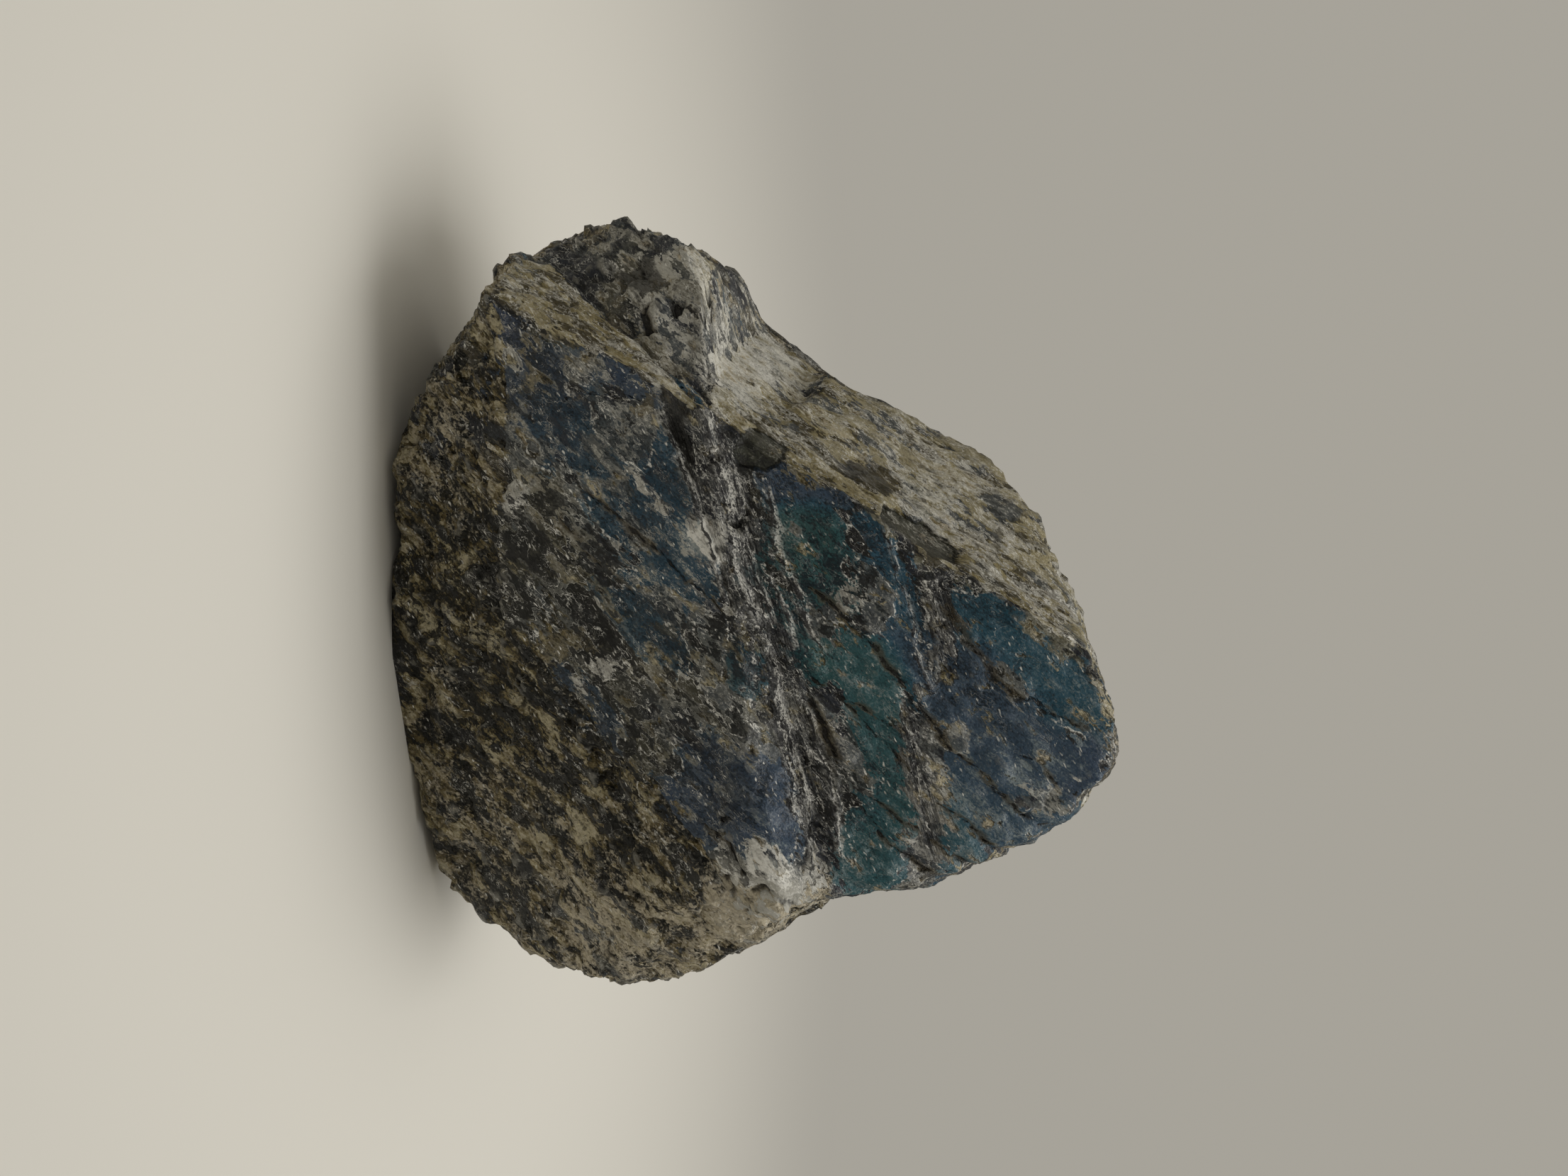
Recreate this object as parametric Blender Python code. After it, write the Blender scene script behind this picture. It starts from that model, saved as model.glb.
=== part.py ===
"""A rough chunk of labradorite, one natural stone modelled as one closed faceted solid.

The stone broke along flat cleavage planes, so it is built the way it formed: four lumps, each of
them a block that is cut down by flat break faces, are joined into one body, and then the cracks,
shelves and pits are cut into it. Every break face is given as a bearing seen from the heart of the
stone: azimuth 0 looks towards the front (-Y), 90 to the right (+X), 180 to the back and -90 to the
left; elevation 90 is straight up; the distance is from the heart to the face.

The frame is in metres with +Z up. The flash face looks towards -Y. The origin lies on the resting
face, under the middle of the stone.
"""

from math import cos, radians, sin

import bmesh
import bpy
from mathutils import Matrix, Vector, noise

# ---------------------------------------------------------------- driving dimensions (millimetres)
MM = 0.001
HEART = Vector((1.6, -8.5, 46.0))     # a point deep inside, from which each face's distance is taken
BASE_CUT = 0.3                        # taken off the underside, so that it ends in one flat face
BASE_FADE = 3.0                       # the bumps fade out over this height above the resting face
FLAT_WITHIN = 0.02                    # points this close to the resting face are set onto it
BLOCK_SIDE = 400.0                    # the uncut block that every lump starts from

VOXEL = 0.8                           # spacing of the fine surface on which the bumps are made
TRIANGLES = 8800                      # the surface is then thinned to about this many
LUMP_SIZE = 10.0                      # spacing of the wide lumps on the granular faces
LUMP_HEIGHT = 1.5                     # height of those lumps
GRAIN_SIZE = 4.5                      # spacing of the small bumps on them
GRAIN_HEIGHT = 0.8                    # height of those bumps
CLEAVAGE_SIZE = 9.0                   # spacing of the slight swell of the cleavage faces
CLEAVAGE_HEIGHT = 0.28                # height of that swell
NOISE_SEED = Vector((13.7, 5.1, 8.3))
FLAKE_ROOT = 3.0                      # how far a raised flake reaches into the stone under it
RUN_OUT = 0.07                        # what is left of a flake's height where it runs out
CLEARANCE = 1.0                       # how far a cutting body stands above the face it cuts

# Break faces of each lump: name, azimuth, elevation, distance from the heart.
# The slab carries the blue flash face and stands in front of the rest.
SLAB = [
    ("flash_face", 4, 14, 24),
    ("right_bevel", 30, 20, 38.5),
    ("golden_wall", -71, 36, 31),
    ("left_crown", -92, 51, 45.5),
    ("top_slope", -104, 70, 49.3),
    ("top", 144, 86, 58.2),
    ("right_crown", 88, 47, 57.5),
    ("right_shoulder", 87, 27, 49.8),
    ("right_cheek", 86, 22, 47.9),
    ("right_side", 84, 8, 43.4),
    ("back_slope", 172, 40, 40),
    ("back_upper", 176, 14, 37),
    ("back_left_slope", -140, 30, 39),
    ("back_right", 138, 14, 42),
    ("hidden_hem", 0, -70, 4),
    ("hidden_hem_right", 90, -60, 30),
    ("hidden_hem_back", 176, -40, 18),
]
# The flank is the streaked tan face left of the golden wall.
FLANK = [
    ("left_face", -57, 34, 30.3),
    ("behind_flash", 4, 14, 21.5),
    ("left_limit", -101, 26, 39.3),
    ("crown", -94, 51, 45.0),
    ("slope", -103, 70, 48.6),
    ("top", 100, 85, 56.6),
    ("back_slope", -165, 40, 38),
    ("back_left", -135, 20, 40),
    ("back", -172, 6, 36),
    ("hidden_right", 90, 0, 20),
    ("hidden_hem", -20, -60, 4),
    ("hidden_foot", -70, -30, 20),
    ("hidden_hem_back", -160, -40, 18),
]
# The boulder is the lower half, with the grey front, the granular bulge and the chin.
BOULDER = [
    ("front", 3, 0, 26.5),
    ("ledge", -7, 50, 22.9),
    ("golden_foot", -57, 25, 36.5),
    ("granular_front", 23, -22, 32),
    ("bulge_front", 52, 0, 46),
    ("bulge_top", 88, 32, 44),
    ("bulge_upper", 85, 20, 48.4),
    ("right_flank", 78, -5, 54.8),
    ("right_lower", 72, -22, 56.4),
    ("right_foot", 62, -42, 55.9),
    ("right_heel", 48, -56, 53.7),
    ("chin", 3, -29, 35.3),
    ("under_left", -55, -52, 53.1),
    ("lifted_base", -50, -86, 46.3),
    ("resting_face", 0, -90, 46),
    ("back", 176, 6, 42),
    ("back_low", 166, -26, 44),
    ("back_heel", -172, -50, 54),
    ("back_left", -138, -2, 46),
    ("back_left_low", -130, -36, 52),
    ("right_limit", 96, -2, 55.8),
    ("back_right", 132, 4, 47),
    ("back_right_low", 126, -34, 54),
    ("back_top", 168, 50, 36),
    ("left_side", -92, 8, 46),
    ("left_top", -90, 40, 24.5),
]
# The shoulder is the rough block at the lower left with the flat pale top.
SHOULDER = [
    ("top_facet", -76, 80, 9.0),
    ("top_tilt", -72, 59, 25.1),
    ("block_front", -16, 9, 27.0),
    ("hidden_inset", 3, 0, 24.5),
    ("hidden_chin", 3, -29, 33),
    ("hidden_edge", 40, -20, 22),
    ("block_left", -34, 0, 38.0),
    ("block_upper", -90, 31, 44),
    ("block_top", -104, 59, 27.7),
    ("block_low", -73, -22, 58.2),
    ("under_left", -55, -52, 53.0),
    ("chin_left", -20, -34, 41),
    ("block_side", -92, 0, 58.6),
    ("block_back", -150, 0, 40),
    ("block_back_low", -142, -34, 50),
    ("hidden_right", 90, 0, 16),
    ("hidden_back", 180, 5, 32),
    ("hidden_back_low", 166, -28, 38),
    ("hidden_heel", -172, -52, 46),
    ("base", 0, -90, 45.6),
]
LUMPS = {"slab": SLAB, "flank": FLANK, "boulder": BOULDER, "shoulder": SHOULDER}

# What splits and chips the faces is placed as it is seen from one side: the bearing of that side,
# then points (s, z), with s to the right as seen from there and z the height. All are on one face.
FRONT_SIDE = 0
RIGHT_SIDE = 90
BACK_SIDE = 180
LEFT_SIDE = -90

# Cracks: side, lump, face, start (s, z), end (s, z), half width, depth. Each is a boat-shaped cut.
CRACKS = [
    (FRONT_SIDE, "slab", "flash_face", (33.5, 95.5), (14.0, 76.0), 1.0, 3.0),
    (FRONT_SIDE, "slab", "flash_face", (15.0, 77.6), (-4.0, 61.4), 0.9, 2.6),
    (FRONT_SIDE, "slab", "flash_face", (20.0, 104.5), (2.6, 83.4), 1.0, 2.8),
    (FRONT_SIDE, "slab", "flash_face", (36.5, 89.0), (29.0, 81.0), 0.8, 2.0),
    (FRONT_SIDE, "slab", "flash_face", (38.4, 84.8), (28.0, 71.8), 0.8, 2.0),
    (FRONT_SIDE, "slab", "flash_face", (39.6, 79.0), (28.0, 69.0), 0.8, 2.0),
    (FRONT_SIDE, "slab", "flash_face", (25.0, 77.6), (9.6, 61.8), 0.9, 2.4),
    (FRONT_SIDE, "slab", "flash_face", (10.8, 62.6), (26.0, 68.2), 0.8, 2.2),
    (FRONT_SIDE, "boulder", "front", (4.5, 54.5), (-17.5, 30.5), 0.8, 2.0),
    (FRONT_SIDE, "boulder", "front", (-24.5, 35.5), (-22.0, 29.0), 0.8, 1.6),
    (FRONT_SIDE, "shoulder", "block_front", (-38.6, 50.0), (-43.4, 41.0), 0.9, 2.4),
    (FRONT_SIDE, "shoulder", "block_front", (-42.5, 40.3), (-36.0, 38.2), 1.2, 3.0),
    (FRONT_SIDE, "shoulder", "block_left", (-47.0, 34.0), (-45.4, 29.6), 1.4, 2.6),
    (RIGHT_SIDE, "boulder", "right_flank", (-24.0, 42.0), (6.0, 52.0), 1.0, 2.6),
    (RIGHT_SIDE, "boulder", "right_lower", (-14.0, 24.0), (16.0, 30.0), 1.0, 2.6),
    (RIGHT_SIDE, "slab", "right_side", (-20.0, 66.0), (4.0, 80.0), 1.0, 2.6),
    (BACK_SIDE, "boulder", "back", (-30.0, 34.0), (8.0, 62.0), 1.2, 3.0),
    (BACK_SIDE, "boulder", "back_low", (-18.0, 14.0), (22.0, 34.0), 1.2, 3.0),
    (BACK_SIDE, "slab", "back_slope", (-22.0, 74.0), (-2.0, 94.0), 1.0, 2.6),
    (LEFT_SIDE, "shoulder", "block_low", (-12.0, 22.0), (12.0, 30.0), 1.0, 2.6),
]

# Shelves: side, lump, face, depth, corners (s, z). A flake has split away and left a shallow
# recess: it is deepest along the line between its first two corners and runs out at the others.
SHELVES = [
    (FRONT_SIDE, "flank", "left_face", 2.2,
     [(-4.2, 82.8), (-9.6, 71.2), (-13.4, 71.8), (-7.4, 83.6)]),
    (FRONT_SIDE, "flank", "left_face", 1.6,
     [(-2.0, 96.5), (-12.0, 82.5), (-19.0, 82.0), (-15.0, 93.0), (-6.0, 98.5)]),
    (FRONT_SIDE, "slab", "flash_face", 1.3,
     [(33.8, 96.0), (3.0, 67.6), (12.0, 62.0), (44.0, 88.0)]),
    (FRONT_SIDE, "slab", "flash_face", 1.2,
     [(20.4, 105.0), (2.4, 83.0), (12.6, 76.6), (32.0, 94.8)]),
    (FRONT_SIDE, "slab", "flash_face", 1.2,
     [(39.0, 86.0), (28.0, 72.0), (31.0, 64.5), (45.0, 72.0)]),
    (FRONT_SIDE, "slab", "flash_face", 1.0,
     [(37.6, 90.2), (29.0, 81.0), (31.0, 76.4), (46.0, 84.0)]),
    (FRONT_SIDE, "slab", "flash_face", 1.0,
     [(25.4, 78.0), (9.4, 61.6), (19.0, 60.0), (32.0, 70.0)]),
    (FRONT_SIDE, "boulder", "front", 1.3,
     [(5.0, 55.0), (-18.0, 30.0), (-6.0, 26.0), (12.0, 46.0)]),
    (FRONT_SIDE, "boulder", "front", 1.2,
     [(-14.0, 41.0), (-28.0, 31.0), (-33.0, 36.0), (-24.0, 46.0)]),
    (FRONT_SIDE, "boulder", "front", 1.4,
     [(-15.0, 16.6), (18.0, 22.0), (14.0, 30.0), (-8.0, 26.0)]),
    (FRONT_SIDE, "boulder", "granular_front", 2.2,
     [(12.0, 24.0), (34.0, 31.0), (34.0, 14.0), (20.0, 8.0)]),
    (FRONT_SIDE, "boulder", "granular_front", 1.8,
     [(32.0, 33.0), (46.0, 45.0), (38.0, 50.0), (30.0, 43.0)]),
    (FRONT_SIDE, "shoulder", "block_left", 1.6,
     [(-55.0, 36.0), (-45.0, 34.0), (-46.0, 43.0), (-54.0, 44.0)]),
    (RIGHT_SIDE, "boulder", "right_flank", 2.4,
     [(-12.0, 46.0), (22.0, 44.0), (18.0, 62.0), (-4.0, 62.0)]),
    (RIGHT_SIDE, "boulder", "right_lower", 2.0,
     [(-24.0, 22.0), (4.0, 20.0), (0.0, 36.0), (-20.0, 36.0)]),
    (BACK_SIDE, "boulder", "back", 3.0,
     [(-10.0, 66.0), (22.0, 70.0), (30.0, 44.0), (0.0, 36.0)]),
    (BACK_SIDE, "boulder", "back_low", 2.6,
     [(-40.0, 36.0), (-8.0, 40.0), (-10.0, 14.0), (-30.0, 12.0)]),
    (BACK_SIDE, "slab", "back_slope", 2.4,
     [(-20.0, 92.0), (8.0, 96.0), (14.0, 78.0), (-10.0, 72.0)]),
    (LEFT_SIDE, "shoulder", "block_low", 1.8,
     [(-24.0, 38.0), (4.0, 34.0), (0.0, 20.0), (-20.0, 18.0)]),
]

# Raised flakes: side, lump, face, height, corners (s, z). Each stands highest along the line
# between its first two corners and runs out at the others.
FLAKES = [
    (FRONT_SIDE, "boulder", "front", 1.4,
     [(43.6, 57.0), (39.4, 53.4), (34.4, 54.6), (34.0, 62.6), (41.4, 63.6)]),
    (FRONT_SIDE, "boulder", "front", 0.8,
     [(-27.6, 48.4), (-25.8, 51.0), (-18.6, 50.0), (-17.0, 47.4), (-24.0, 45.8)]),
    (FRONT_SIDE, "boulder", "front", 0.7,
     [(-11.6, 21.0), (-14.6, 17.6), (-17.6, 24.6), (-14.4, 27.2)]),
    (FRONT_SIDE, "slab", "flash_face", 0.6,
     [(-4.0, 84.4), (9.6, 84.0), (10.2, 81.0), (-2.0, 79.4)]),
]

STONE_COLOUR = (0.060, 0.066, 0.058, 1.0)    # dark grey-green labradorite, linear
STONE_ROUGHNESS = 0.55


# ---------------------------------------------------------------- geometry helpers (millimetres)
def bearing(azimuth, elevation):
    """Unit vector of a face that looks to this azimuth and elevation."""
    a, e = radians(azimuth), radians(elevation)
    return Vector((sin(a) * cos(e), -cos(a) * cos(e), sin(e)))


def face_of(lump_name, face_name):
    """The outward normal of one break face, and its distance from the heart."""
    for name, azimuth, elevation, distance in LUMPS[lump_name]:
        if name == face_name:
            return bearing(azimuth, elevation), distance
    raise ValueError(f"no face {face_name} on {lump_name}")


def point_on_face(side, normal, distance, s, z):
    """The point of the face that is seen from this side at s and z."""
    to_right = Vector((cos(radians(side)), sin(radians(side)), 0.0))
    to_viewer = bearing(side, 0)
    start = to_right * s + Vector((0, 0, z))
    reach = (distance - normal.dot(start - HEART)) / normal.dot(to_viewer)
    return start + to_viewer * reach


def object_from(name, mesh_data):
    """A mesh object made of a bmesh, which is freed."""
    mesh = bpy.data.meshes.new(name)
    mesh_data.to_mesh(mesh)
    mesh_data.free()
    made = bpy.data.objects.new(name, mesh)
    bpy.context.scene.collection.objects.link(made)
    return made


def closed_hull(name, points):
    """The convex body around a few points, with its faces outwards."""
    hull = bmesh.new()
    for point in points:
        hull.verts.new(point)
    bmesh.ops.convex_hull(hull, input=hull.verts)
    loose = [v for v in hull.verts if not v.link_faces]
    bmesh.ops.delete(hull, geom=loose, context="VERTS")
    bmesh.ops.recalc_face_normals(hull, faces=hull.faces)
    return object_from(name, hull)


def cut_block(name, faces):
    """One lump: a block cut down by every one of its break faces, each cut capped flat."""
    block = bmesh.new()
    bmesh.ops.create_cube(block, size=BLOCK_SIDE, matrix=Matrix.Translation(HEART))
    for _, azimuth, elevation, distance in faces:
        outward = bearing(azimuth, elevation)
        everything = block.verts[:] + block.edges[:] + block.faces[:]
        cut = bmesh.ops.bisect_plane(block, geom=everything, plane_co=HEART + outward * distance,
                                     plane_no=outward, clear_outer=True)
        rim = [e for e in cut["geom_cut"] if isinstance(e, bmesh.types.BMEdge)]
        if rim:
            bmesh.ops.edgeloop_fill(block, edges=rim)
    bmesh.ops.recalc_face_normals(block, faces=block.faces)
    return object_from(name, block)


def crack_tool(side, lump_name, face_name, start, end, half_width, depth):
    """A boat-shaped body: pointed at both ends, widest and deepest at the middle of the crack."""
    normal, distance = face_of(lump_name, face_name)
    tip_a = point_on_face(side, normal, distance, *start)
    tip_b = point_on_face(side, normal, distance, *end)
    across = (tip_b - tip_a).cross(normal).normalized() * half_width
    above = normal * half_width
    middle = (tip_a + tip_b) / 2
    quarter = (tip_b - tip_a) / 4
    deck = [middle + along + sideways + above
            for along in (-quarter, quarter) for sideways in (-across, across)]
    keel = [middle - quarter - normal * depth, middle + quarter - normal * depth]
    return closed_hull("crack", [tip_a + above, tip_b + above] + deck + keel)


def slab_tool(side, lump_name, face_name, corners, inward, outward):
    """A flat body over the corners of a face. Each corner has its own reach inward and outward."""
    normal, distance = face_of(lump_name, face_name)
    ring = [point_on_face(side, normal, distance, s, z) for s, z in corners]
    below = [point - normal * reach for point, reach in zip(ring, inward)]
    above = [point + normal * reach for point, reach in zip(ring, outward)]
    return closed_hull("flake", below + above)


def highest_first(corners, reach):
    """The full reach at the first two corners of a flake, and next to none at the others."""
    return [reach, reach] + [RUN_OUT] * (len(corners) - 2)


def apply_modifier(base, kind, **settings):
    """Puts one modifier on the object and keeps its result as the mesh."""
    step = base.modifiers.new(kind.lower(), kind)
    for name, value in settings.items():
        setattr(step, name, value)
    scene_state = bpy.context.evaluated_depsgraph_get()
    result = bpy.data.meshes.new_from_object(base.evaluated_get(scene_state))
    base.modifiers.clear()
    base.data = result


def combine(base, tool, operation):
    """Joins the tool to the base, or cuts it out, and removes the tool."""
    apply_modifier(base, "BOOLEAN", operation=operation, solver="EXACT", object=tool)
    bpy.data.objects.remove(tool)


# ---------------------------------------------------------------- the surface of the stone
def granular_share(point):
    """0 on the clean cleavage faces of the front, 1 on the granular bulge, underside and back."""
    behind = (point.y - HEART.y + 12) / 16
    below_line = (point.x - 6 - (point.z - 26) * 0.95) / 6
    under = (16 - point.z) / 8
    return min(1.0, max(0.0, behind, below_line, under))


def roughen(mesh):
    """Moves every point along the line from the heart: low bumps on the granular faces and a
    slight swell on the cleavage faces, none of it on the resting face. Moving along that line
    keeps the surface from crossing itself."""
    for vert in mesh.vertices:
        share = granular_share(vert.co)
        bumps = noise.noise(vert.co / LUMP_SIZE + NOISE_SEED) * LUMP_HEIGHT
        bumps += noise.noise(vert.co / GRAIN_SIZE + NOISE_SEED) * GRAIN_HEIGHT
        swell = noise.noise(vert.co / CLEAVAGE_SIZE - NOISE_SEED) * CLEAVAGE_HEIGHT
        above_base = min(1.0, max(0.0, (vert.co.z - BASE_CUT) / BASE_FADE))
        outward = (vert.co - HEART).normalized()
        vert.co += outward * (bumps * share + swell * (1 - share)) * above_base


def count_triangles(mesh):
    """How many triangles the mesh has once its faces are split."""
    return sum(len(face.vertices) - 2 for face in mesh.polygons)


def flatten_base(surface):
    """Cuts the stone just above its lowest point, so that it rests on one truly flat face at z 0."""
    everything = surface.verts[:] + surface.edges[:] + surface.faces[:]
    level = Vector((0, 0, BASE_CUT))
    cut = bmesh.ops.bisect_plane(surface, geom=everything, plane_co=level,
                                 plane_no=Vector((0, 0, -1)), clear_outer=True)
    rim = [e for e in cut["geom_cut"] if isinstance(e, bmesh.types.BMEdge)]
    bmesh.ops.holes_fill(surface, edges=rim)
    bmesh.ops.translate(surface, verts=surface.verts, vec=-level)
    for vert in surface.verts:
        if vert.co.z < FLAT_WITHIN:
            vert.co.z = 0.0


def keep_main_body(surface):
    """Deletes the loose crumbs that the cuts leave, and keeps the one large body."""
    unseen = set(surface.verts)
    bodies = []
    while unseen:
        body = {unseen.pop()}
        edge_of_body = list(body)
        while edge_of_body:
            vert = edge_of_body.pop()
            for edge in vert.link_edges:
                neighbour = edge.other_vert(vert)
                if neighbour in unseen:
                    unseen.remove(neighbour)
                    body.add(neighbour)
                    edge_of_body.append(neighbour)
        bodies.append(body)
    crumbs = [vert for body in bodies if body is not max(bodies, key=len) for vert in body]
    bmesh.ops.delete(surface, geom=crumbs, context="VERTS")


def labradorite_material():
    """Dull dark stone; the blue flash is a matter of light on the surface and not of the solid."""
    stone = bpy.data.materials.new("labradorite")
    stone.use_nodes = True
    shader = stone.node_tree.nodes["Principled BSDF"]
    shader.inputs["Base Color"].default_value = STONE_COLOUR
    shader.inputs["Roughness"].default_value = STONE_ROUGHNESS
    shader.inputs["Metallic"].default_value = 0.0
    stone.diffuse_color = STONE_COLOUR
    return stone


def build_stone():
    """Joins the lumps, adds the raised flakes, cuts shelves and cracks, and roughens the whole."""
    stone = cut_block("labradorite_chunk", BOULDER)
    for name in ("slab", "flank", "shoulder"):
        combine(stone, cut_block(name, LUMPS[name]), "UNION")
    for side, lump_name, face_name, height, corners in FLAKES:
        root = [FLAKE_ROOT] * len(corners)
        crest = highest_first(corners, height)
        tool = slab_tool(side, lump_name, face_name, corners, root, crest)
        combine(stone, tool, "UNION")
    for side, lump_name, face_name, depth, corners in SHELVES:
        floor = highest_first(corners, depth)
        lid = [CLEARANCE] * len(corners)
        tool = slab_tool(side, lump_name, face_name, corners, floor, lid)
        combine(stone, tool, "DIFFERENCE")
    for crack in CRACKS:
        combine(stone, crack_tool(*crack), "DIFFERENCE")

    apply_modifier(stone, "REMESH", mode="VOXEL", voxel_size=VOXEL)
    roughen(stone.data)
    apply_modifier(stone, "DECIMATE", ratio=TRIANGLES / count_triangles(stone.data))

    surface = bmesh.new()
    surface.from_mesh(stone.data)
    keep_main_body(surface)
    flatten_base(surface)
    bmesh.ops.triangulate(surface, faces=surface.faces[:])
    bmesh.ops.recalc_face_normals(surface, faces=surface.faces)
    bmesh.ops.scale(surface, verts=surface.verts, vec=(MM, MM, MM))
    surface.to_mesh(stone.data)
    surface.free()
    stone.data.materials.clear()
    stone.data.materials.append(labradorite_material())
    return stone


for old in list(bpy.data.objects):
    bpy.data.objects.remove(old)
build_stone()
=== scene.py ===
# %% [markdown]
# # A rough chunk of labradorite
# This notebook dresses one natural stone: a fist-sized piece of labradorite, broken and never
# polished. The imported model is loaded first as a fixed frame. Its single solid has the stone's true
# lumps, ledges and cracks, and everything below follows it, so the fine stone fits the solid.

import bpy
import numpy as np
from mathutils import Matrix, Vector


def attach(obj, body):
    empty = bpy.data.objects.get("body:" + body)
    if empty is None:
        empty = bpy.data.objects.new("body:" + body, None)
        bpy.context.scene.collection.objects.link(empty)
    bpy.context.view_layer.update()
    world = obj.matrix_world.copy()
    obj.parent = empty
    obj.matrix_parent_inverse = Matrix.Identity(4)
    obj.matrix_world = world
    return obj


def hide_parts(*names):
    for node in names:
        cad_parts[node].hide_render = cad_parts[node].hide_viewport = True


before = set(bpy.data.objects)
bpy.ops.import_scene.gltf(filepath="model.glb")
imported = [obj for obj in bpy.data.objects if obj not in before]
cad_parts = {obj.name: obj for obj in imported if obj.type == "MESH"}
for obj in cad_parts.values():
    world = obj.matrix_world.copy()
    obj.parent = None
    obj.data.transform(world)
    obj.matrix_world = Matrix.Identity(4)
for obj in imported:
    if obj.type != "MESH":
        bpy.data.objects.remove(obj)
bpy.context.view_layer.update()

# %% [markdown]
# ## The break faces
# A stone like this has no curved surface of its own: it parted along flat cleavage planes. Each
# break face is therefore one plane, written as the bearing it looks to and its distance in
# millimetres from one point deep inside, the heart. Azimuth 0 is the front, 90 the right, 180 the
# back; elevation 90 is up. Four lumps, each the space behind all of its own planes, overlap to make
# the stone. They could be cut from blocks with a knife tool, but planes are better here, because
# the distance from the heart to the skin is then one short formula for the whole stone at once.

# %% The planes of the four lumps
HEART = np.array([1.6, -8.5, 46.0])

SLAB = dict(
    flash_face=(4, 14, 24), right_bevel=(30, 20, 38.5), golden_wall=(-71, 36, 31),
    left_crown=(-92, 51, 45.5), top_slope=(-104, 70, 49.3), top=(144, 86, 58.2),
    right_crown=(88, 47, 57.5), right_shoulder=(87, 27, 49.8), right_cheek=(86, 22, 47.9),
    right_side=(84, 8, 43.4), back_slope=(172, 40, 40), back_upper=(176, 14, 37),
    back_left_slope=(-140, 30, 39), back_right=(138, 14, 42), hem=(0, -70, 4),
    hem_right=(90, -60, 30), hem_back=(176, -40, 18),
)
FLANK = dict(
    left_face=(-57, 34, 30.3), behind_flash=(4, 14, 21.5), left_limit=(-101, 26, 39.3),
    crown=(-94, 51, 45.0), slope=(-103, 70, 48.6), top=(100, 85, 56.6),
    back_slope=(-165, 40, 38), back_left=(-135, 20, 40), back=(-172, 6, 36), right=(90, 0, 20),
    hem=(-20, -60, 4), foot=(-70, -30, 20), hem_back=(-160, -40, 18),
)
BOULDER = dict(
    front=(3, 0, 26.5), ledge=(-7, 50, 22.9), golden_foot=(-57, 25, 36.5),
    granular_front=(23, -22, 32), bulge_front=(52, 0, 46), bulge_top=(88, 32, 44),
    bulge_upper=(85, 20, 48.4), right_flank=(78, -5, 54.8), right_lower=(72, -22, 56.4),
    right_foot=(62, -42, 55.9), right_heel=(48, -56, 53.7), chin=(3, -29, 35.3),
    under_left=(-55, -52, 53.1), lifted_base=(-50, -86, 46.3), resting_face=(0, -90, 46),
    back=(176, 6, 42), back_low=(166, -26, 44), back_heel=(-172, -50, 54),
    back_left=(-138, -2, 46), back_left_low=(-130, -36, 52), right_limit=(96, -2, 55.8),
    back_right=(132, 4, 47), back_right_low=(126, -34, 54), back_top=(168, 50, 36),
    left_side=(-92, 8, 46), left_top=(-90, 40, 24.5),
)
SHOULDER = dict(
    top_facet=(-76, 80, 9.0), top_tilt=(-72, 59, 25.1), block_front=(-16, 9, 27.0),
    inset=(3, 0, 24.5), inner_chin=(3, -29, 33), edge=(40, -20, 22), block_left=(-34, 0, 38.0),
    block_upper=(-90, 31, 44), block_top=(-104, 59, 27.7), block_low=(-73, -22, 58.2),
    under_left=(-55, -52, 53.0), chin_left=(-20, -34, 41), block_side=(-92, 0, 58.6),
    block_back=(-150, 0, 40), block_back_low=(-142, -34, 50), right=(90, 0, 16),
    back=(180, 5, 32), back_low=(166, -28, 38), heel=(-172, -52, 46), base=(0, -90, 45.6),
)
LUMPS = dict(slab=SLAB, flank=FLANK, boulder=BOULDER, shoulder=SHOULDER)


def bearing(azimuth, elevation):
    """The unit vector (sin a cos e, -cos a cos e, sin e) that looks to this azimuth and elevation."""
    a, e = np.radians(azimuth), np.radians(elevation)
    return np.stack([np.sin(a) * np.cos(e), -np.cos(a) * np.cos(e), np.sin(e)], axis=-1)


def lump_reach(directions, planes, swell):
    """How far one lump reaches along each direction, and which plane ends it. A plane at distance d
    with normal n is met at d / (direction . n); the nearest plane in front is the skin. The swell,
    a column for each plane, is added to the distances."""
    numbers = np.array(list(planes.values()), float)
    cosine = directions @ bearing(numbers[:, 0], numbers[:, 1]).T
    reach = np.where(cosine > 1e-3, (numbers[:, 2] + swell) / np.maximum(cosine, 1e-3), np.inf)
    return reach.min(axis=1), reach.argmin(axis=1)


FACE_NAMES = [f"{lump}/{face}" for lump, planes in LUMPS.items() for face in planes]


def skin(directions, swell=None):
    """The stone's skin along each direction: the furthest reach of any lump. Returns the points in
    millimetres and the number of the face that each lies on."""
    best, face = np.zeros(len(directions)), np.zeros(len(directions), int)
    first = 0
    for planes in LUMPS.values():
        columns = 0.0 if swell is None else swell[:, first:first + len(planes)]
        reach, index = lump_reach(directions, planes, columns)
        further = reach > best
        best = np.where(further, reach, best)
        face = np.where(further, first + index, face)
        first += len(planes)
    return HEART + directions * best[:, None], face


print(len(FACE_NAMES), "break faces")

# %% [markdown]
# ## A grid that wraps the stone
# The surface is a function of two parameters on each of six square grids, as on a dice blown up to
# a ball. Rows of points shot out from the heart would crowd on near faces and thin out on far ones,
# so the grid is relaxed: every point drifts to the mean of its neighbours and is set back on the
# skin, until the cells are of like size. The mean is weighted towards the front, where the flash
# and the cleavage steps need the finest cells. It starts coarse and is doubled, which is quick.

# %% Grid helpers
CELLS = 128               # cells along a side of each of the six grids: 6 x 128 x 128 x 2 triangles
FRONT_PULL = 0.50         # how much more a neighbour at the front counts than one at the back


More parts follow.
